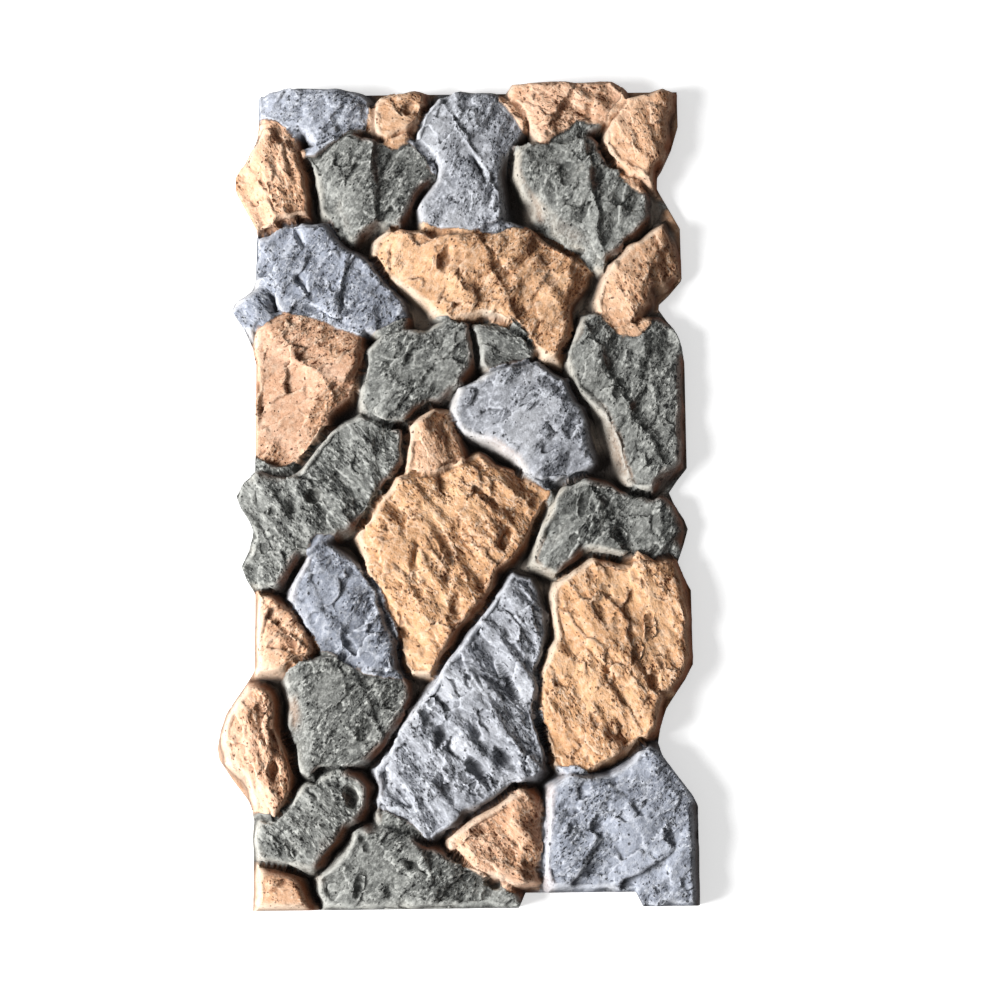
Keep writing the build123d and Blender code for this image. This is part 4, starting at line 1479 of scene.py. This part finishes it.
    def store_colour(self, mesh: bpy.types.Mesh, name: str, planes: tuple) -> None:
        """Stores four masks of the grid as one colour attribute, and carries them down the rim.

        Args:
            mesh: the carved mesh.
            name: name of the attribute.
            planes: the masks, each as large as the grid.
        """
        front = np.stack([plane.ravel()[self.used] for plane in planes], axis=1)
        stored = np.concatenate([front, *[front[self.rim]] * self.wall_rows]).astype(np.float32)
        mesh.attributes.new(name, "FLOAT_COLOR", "POINT").data.foreach_set("color", stored.ravel())

    def thin(self, piece: bpy.types.Object) -> None:
        """Thins the mesh where it is smooth, down to the number of triangles it may have."""
        modifier = piece.modifiers.new("thin", "DECIMATE")
        modifier.ratio = min(1.0, self.triangles / count_triangles(piece.data))
        modifier.use_collapse_triangulate = True
        bake(piece, modifier)

    def dress_back(self, mesh: bpy.types.Mesh) -> None:
        """Gives the flat back its own material."""
        mesh.materials.append(BareFoam().build())
        for polygon in mesh.polygons:
            if polygon.center.z < BACK_LEVEL and polygon.normal.z < -0.5:
                polygon.material_index = 1


@dataclass
class Studio:
    """Pale floor, soft daylight from the left and the camera that the view was fitted with.

    The camera's place and lens are in mm, its turns and the lamp's height above the horizon in
    degrees. Other lengths are in metres. The floor glows by floor_glow near the panel and
    fully beyond the far end of glow_reach, so that its edge can't be seen.
    """

    lens: float = 68.4
    camera_place: tuple = (55.0, -477.5, 2738.0)
    camera_turn: tuple = (9.4, -0.12, -0.69)
    key_height: float = 33.0
    key_distance: float = 4.5
    key_size: float = 1.8
    key_power: float = 348.0
    sky: float = 0.21
    paper: str = "#F4F4F4"
    floor_size: float = 30.0
    floor_drop: float = 0.0005
    floor_glow: float = 0.55
    glow_reach: tuple = (0.8, 1.8)

    def build(self) -> None:
        """Adds the floor, the lights and the camera."""
        self.add_floor()
        self.add_key()
        self.add_sky()
        self.add_camera()

    def add_floor(self) -> None:
        """Adds the white sheet that the panel lies on, which keeps its shadow."""
        mesh = bpy.data.meshes.new("floor")
        ends = ((-1, -1), (1, -1), (1, 1), (-1, 1))
        corners = [(x * self.floor_size, y * self.floor_size, 0) for x, y in ends]
        mesh.from_pydata(corners, [], [(0, 1, 2, 3)])
        floor = add_object("floor", mesh)
        floor.location.z = -self.floor_drop
        material = bpy.data.materials.new("white paper, matt")
        canvas = blank(material)
        paper = canvas.take("ShaderNodeBsdfDiffuse", {"Color": linear(self.paper)})
        reach = canvas.vector("LENGTH", canvas.take("ShaderNodeTexCoord", output="Object"))
        strength = canvas.spread(reach, *self.glow_reach) * (1.0 - self.floor_glow) + self.floor_glow
        glow = canvas.take("ShaderNodeEmission", {"Color": WHITE, "Strength": strength})
        both = canvas.take("ShaderNodeAddShader", {0: paper, 1: glow})
        mixed = canvas.take("ShaderNodeMixShader", {0: canvas.seen(), 1: paper, 2: both})
        canvas.add("ShaderNodeOutputMaterial", {"Surface": mixed})
        mesh.materials.append(material)

    def add_key(self) -> None:
        """Adds the broad lamp at the left that shapes the stones."""
        turn, height = math.radians(LIGHT_FROM), math.radians(self.key_height)
        across = math.cos(height)
        away = Vector((math.cos(turn) * across, math.sin(turn) * across, math.sin(height)))
        lamp = bpy.data.lights.new("key", "AREA")
        lamp.shape = "SQUARE"
        lamp.size = self.key_size
        lamp.energy = self.key_power
        key = add_object("key", lamp)
        key.location = away * self.key_distance
        key.rotation_euler = away.to_track_quat("Z", "Y").to_euler()

    def add_sky(self) -> None:
        """Sets the even light from all round, and a white background for the camera."""
        world = bpy.data.worlds.new("studio")
        bpy.context.scene.world = world
        canvas = blank(world)
        soft, white = (canvas.take("ShaderNodeBackground", {"Color": WHITE, "Strength": strength})
                       for strength in (self.sky, 1.0))
        mixed = canvas.take("ShaderNodeMixShader", {0: canvas.seen(), 1: soft, 2: white})
        canvas.add("ShaderNodeOutputWorld", {"Surface": mixed})

    def add_camera(self) -> None:
        """Adds the camera and makes it the scene's own."""
        camera = add_object("camera", bpy.data.cameras.new("camera"))
        camera.data.lens = self.lens
        camera.location = Vector(self.camera_place) * MM
        camera.rotation_euler = [math.radians(turn) for turn in self.camera_turn]
        bpy.context.scene.camera = camera


def main() -> None:
    """Builds the studio and the panel; the panel notes its number of triangles."""
    logging.basicConfig(level=logging.INFO, format="%(name)s: %(message)s")
    bpy.context.scene.view_settings.view_transform = "Standard"
    Studio().build()
    panel = StonePanel(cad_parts["stone_panel"], PITCH)
    piece = panel.build()
    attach(piece, "root")
    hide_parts("stone_panel")


if __name__ == "__main__":
    main()
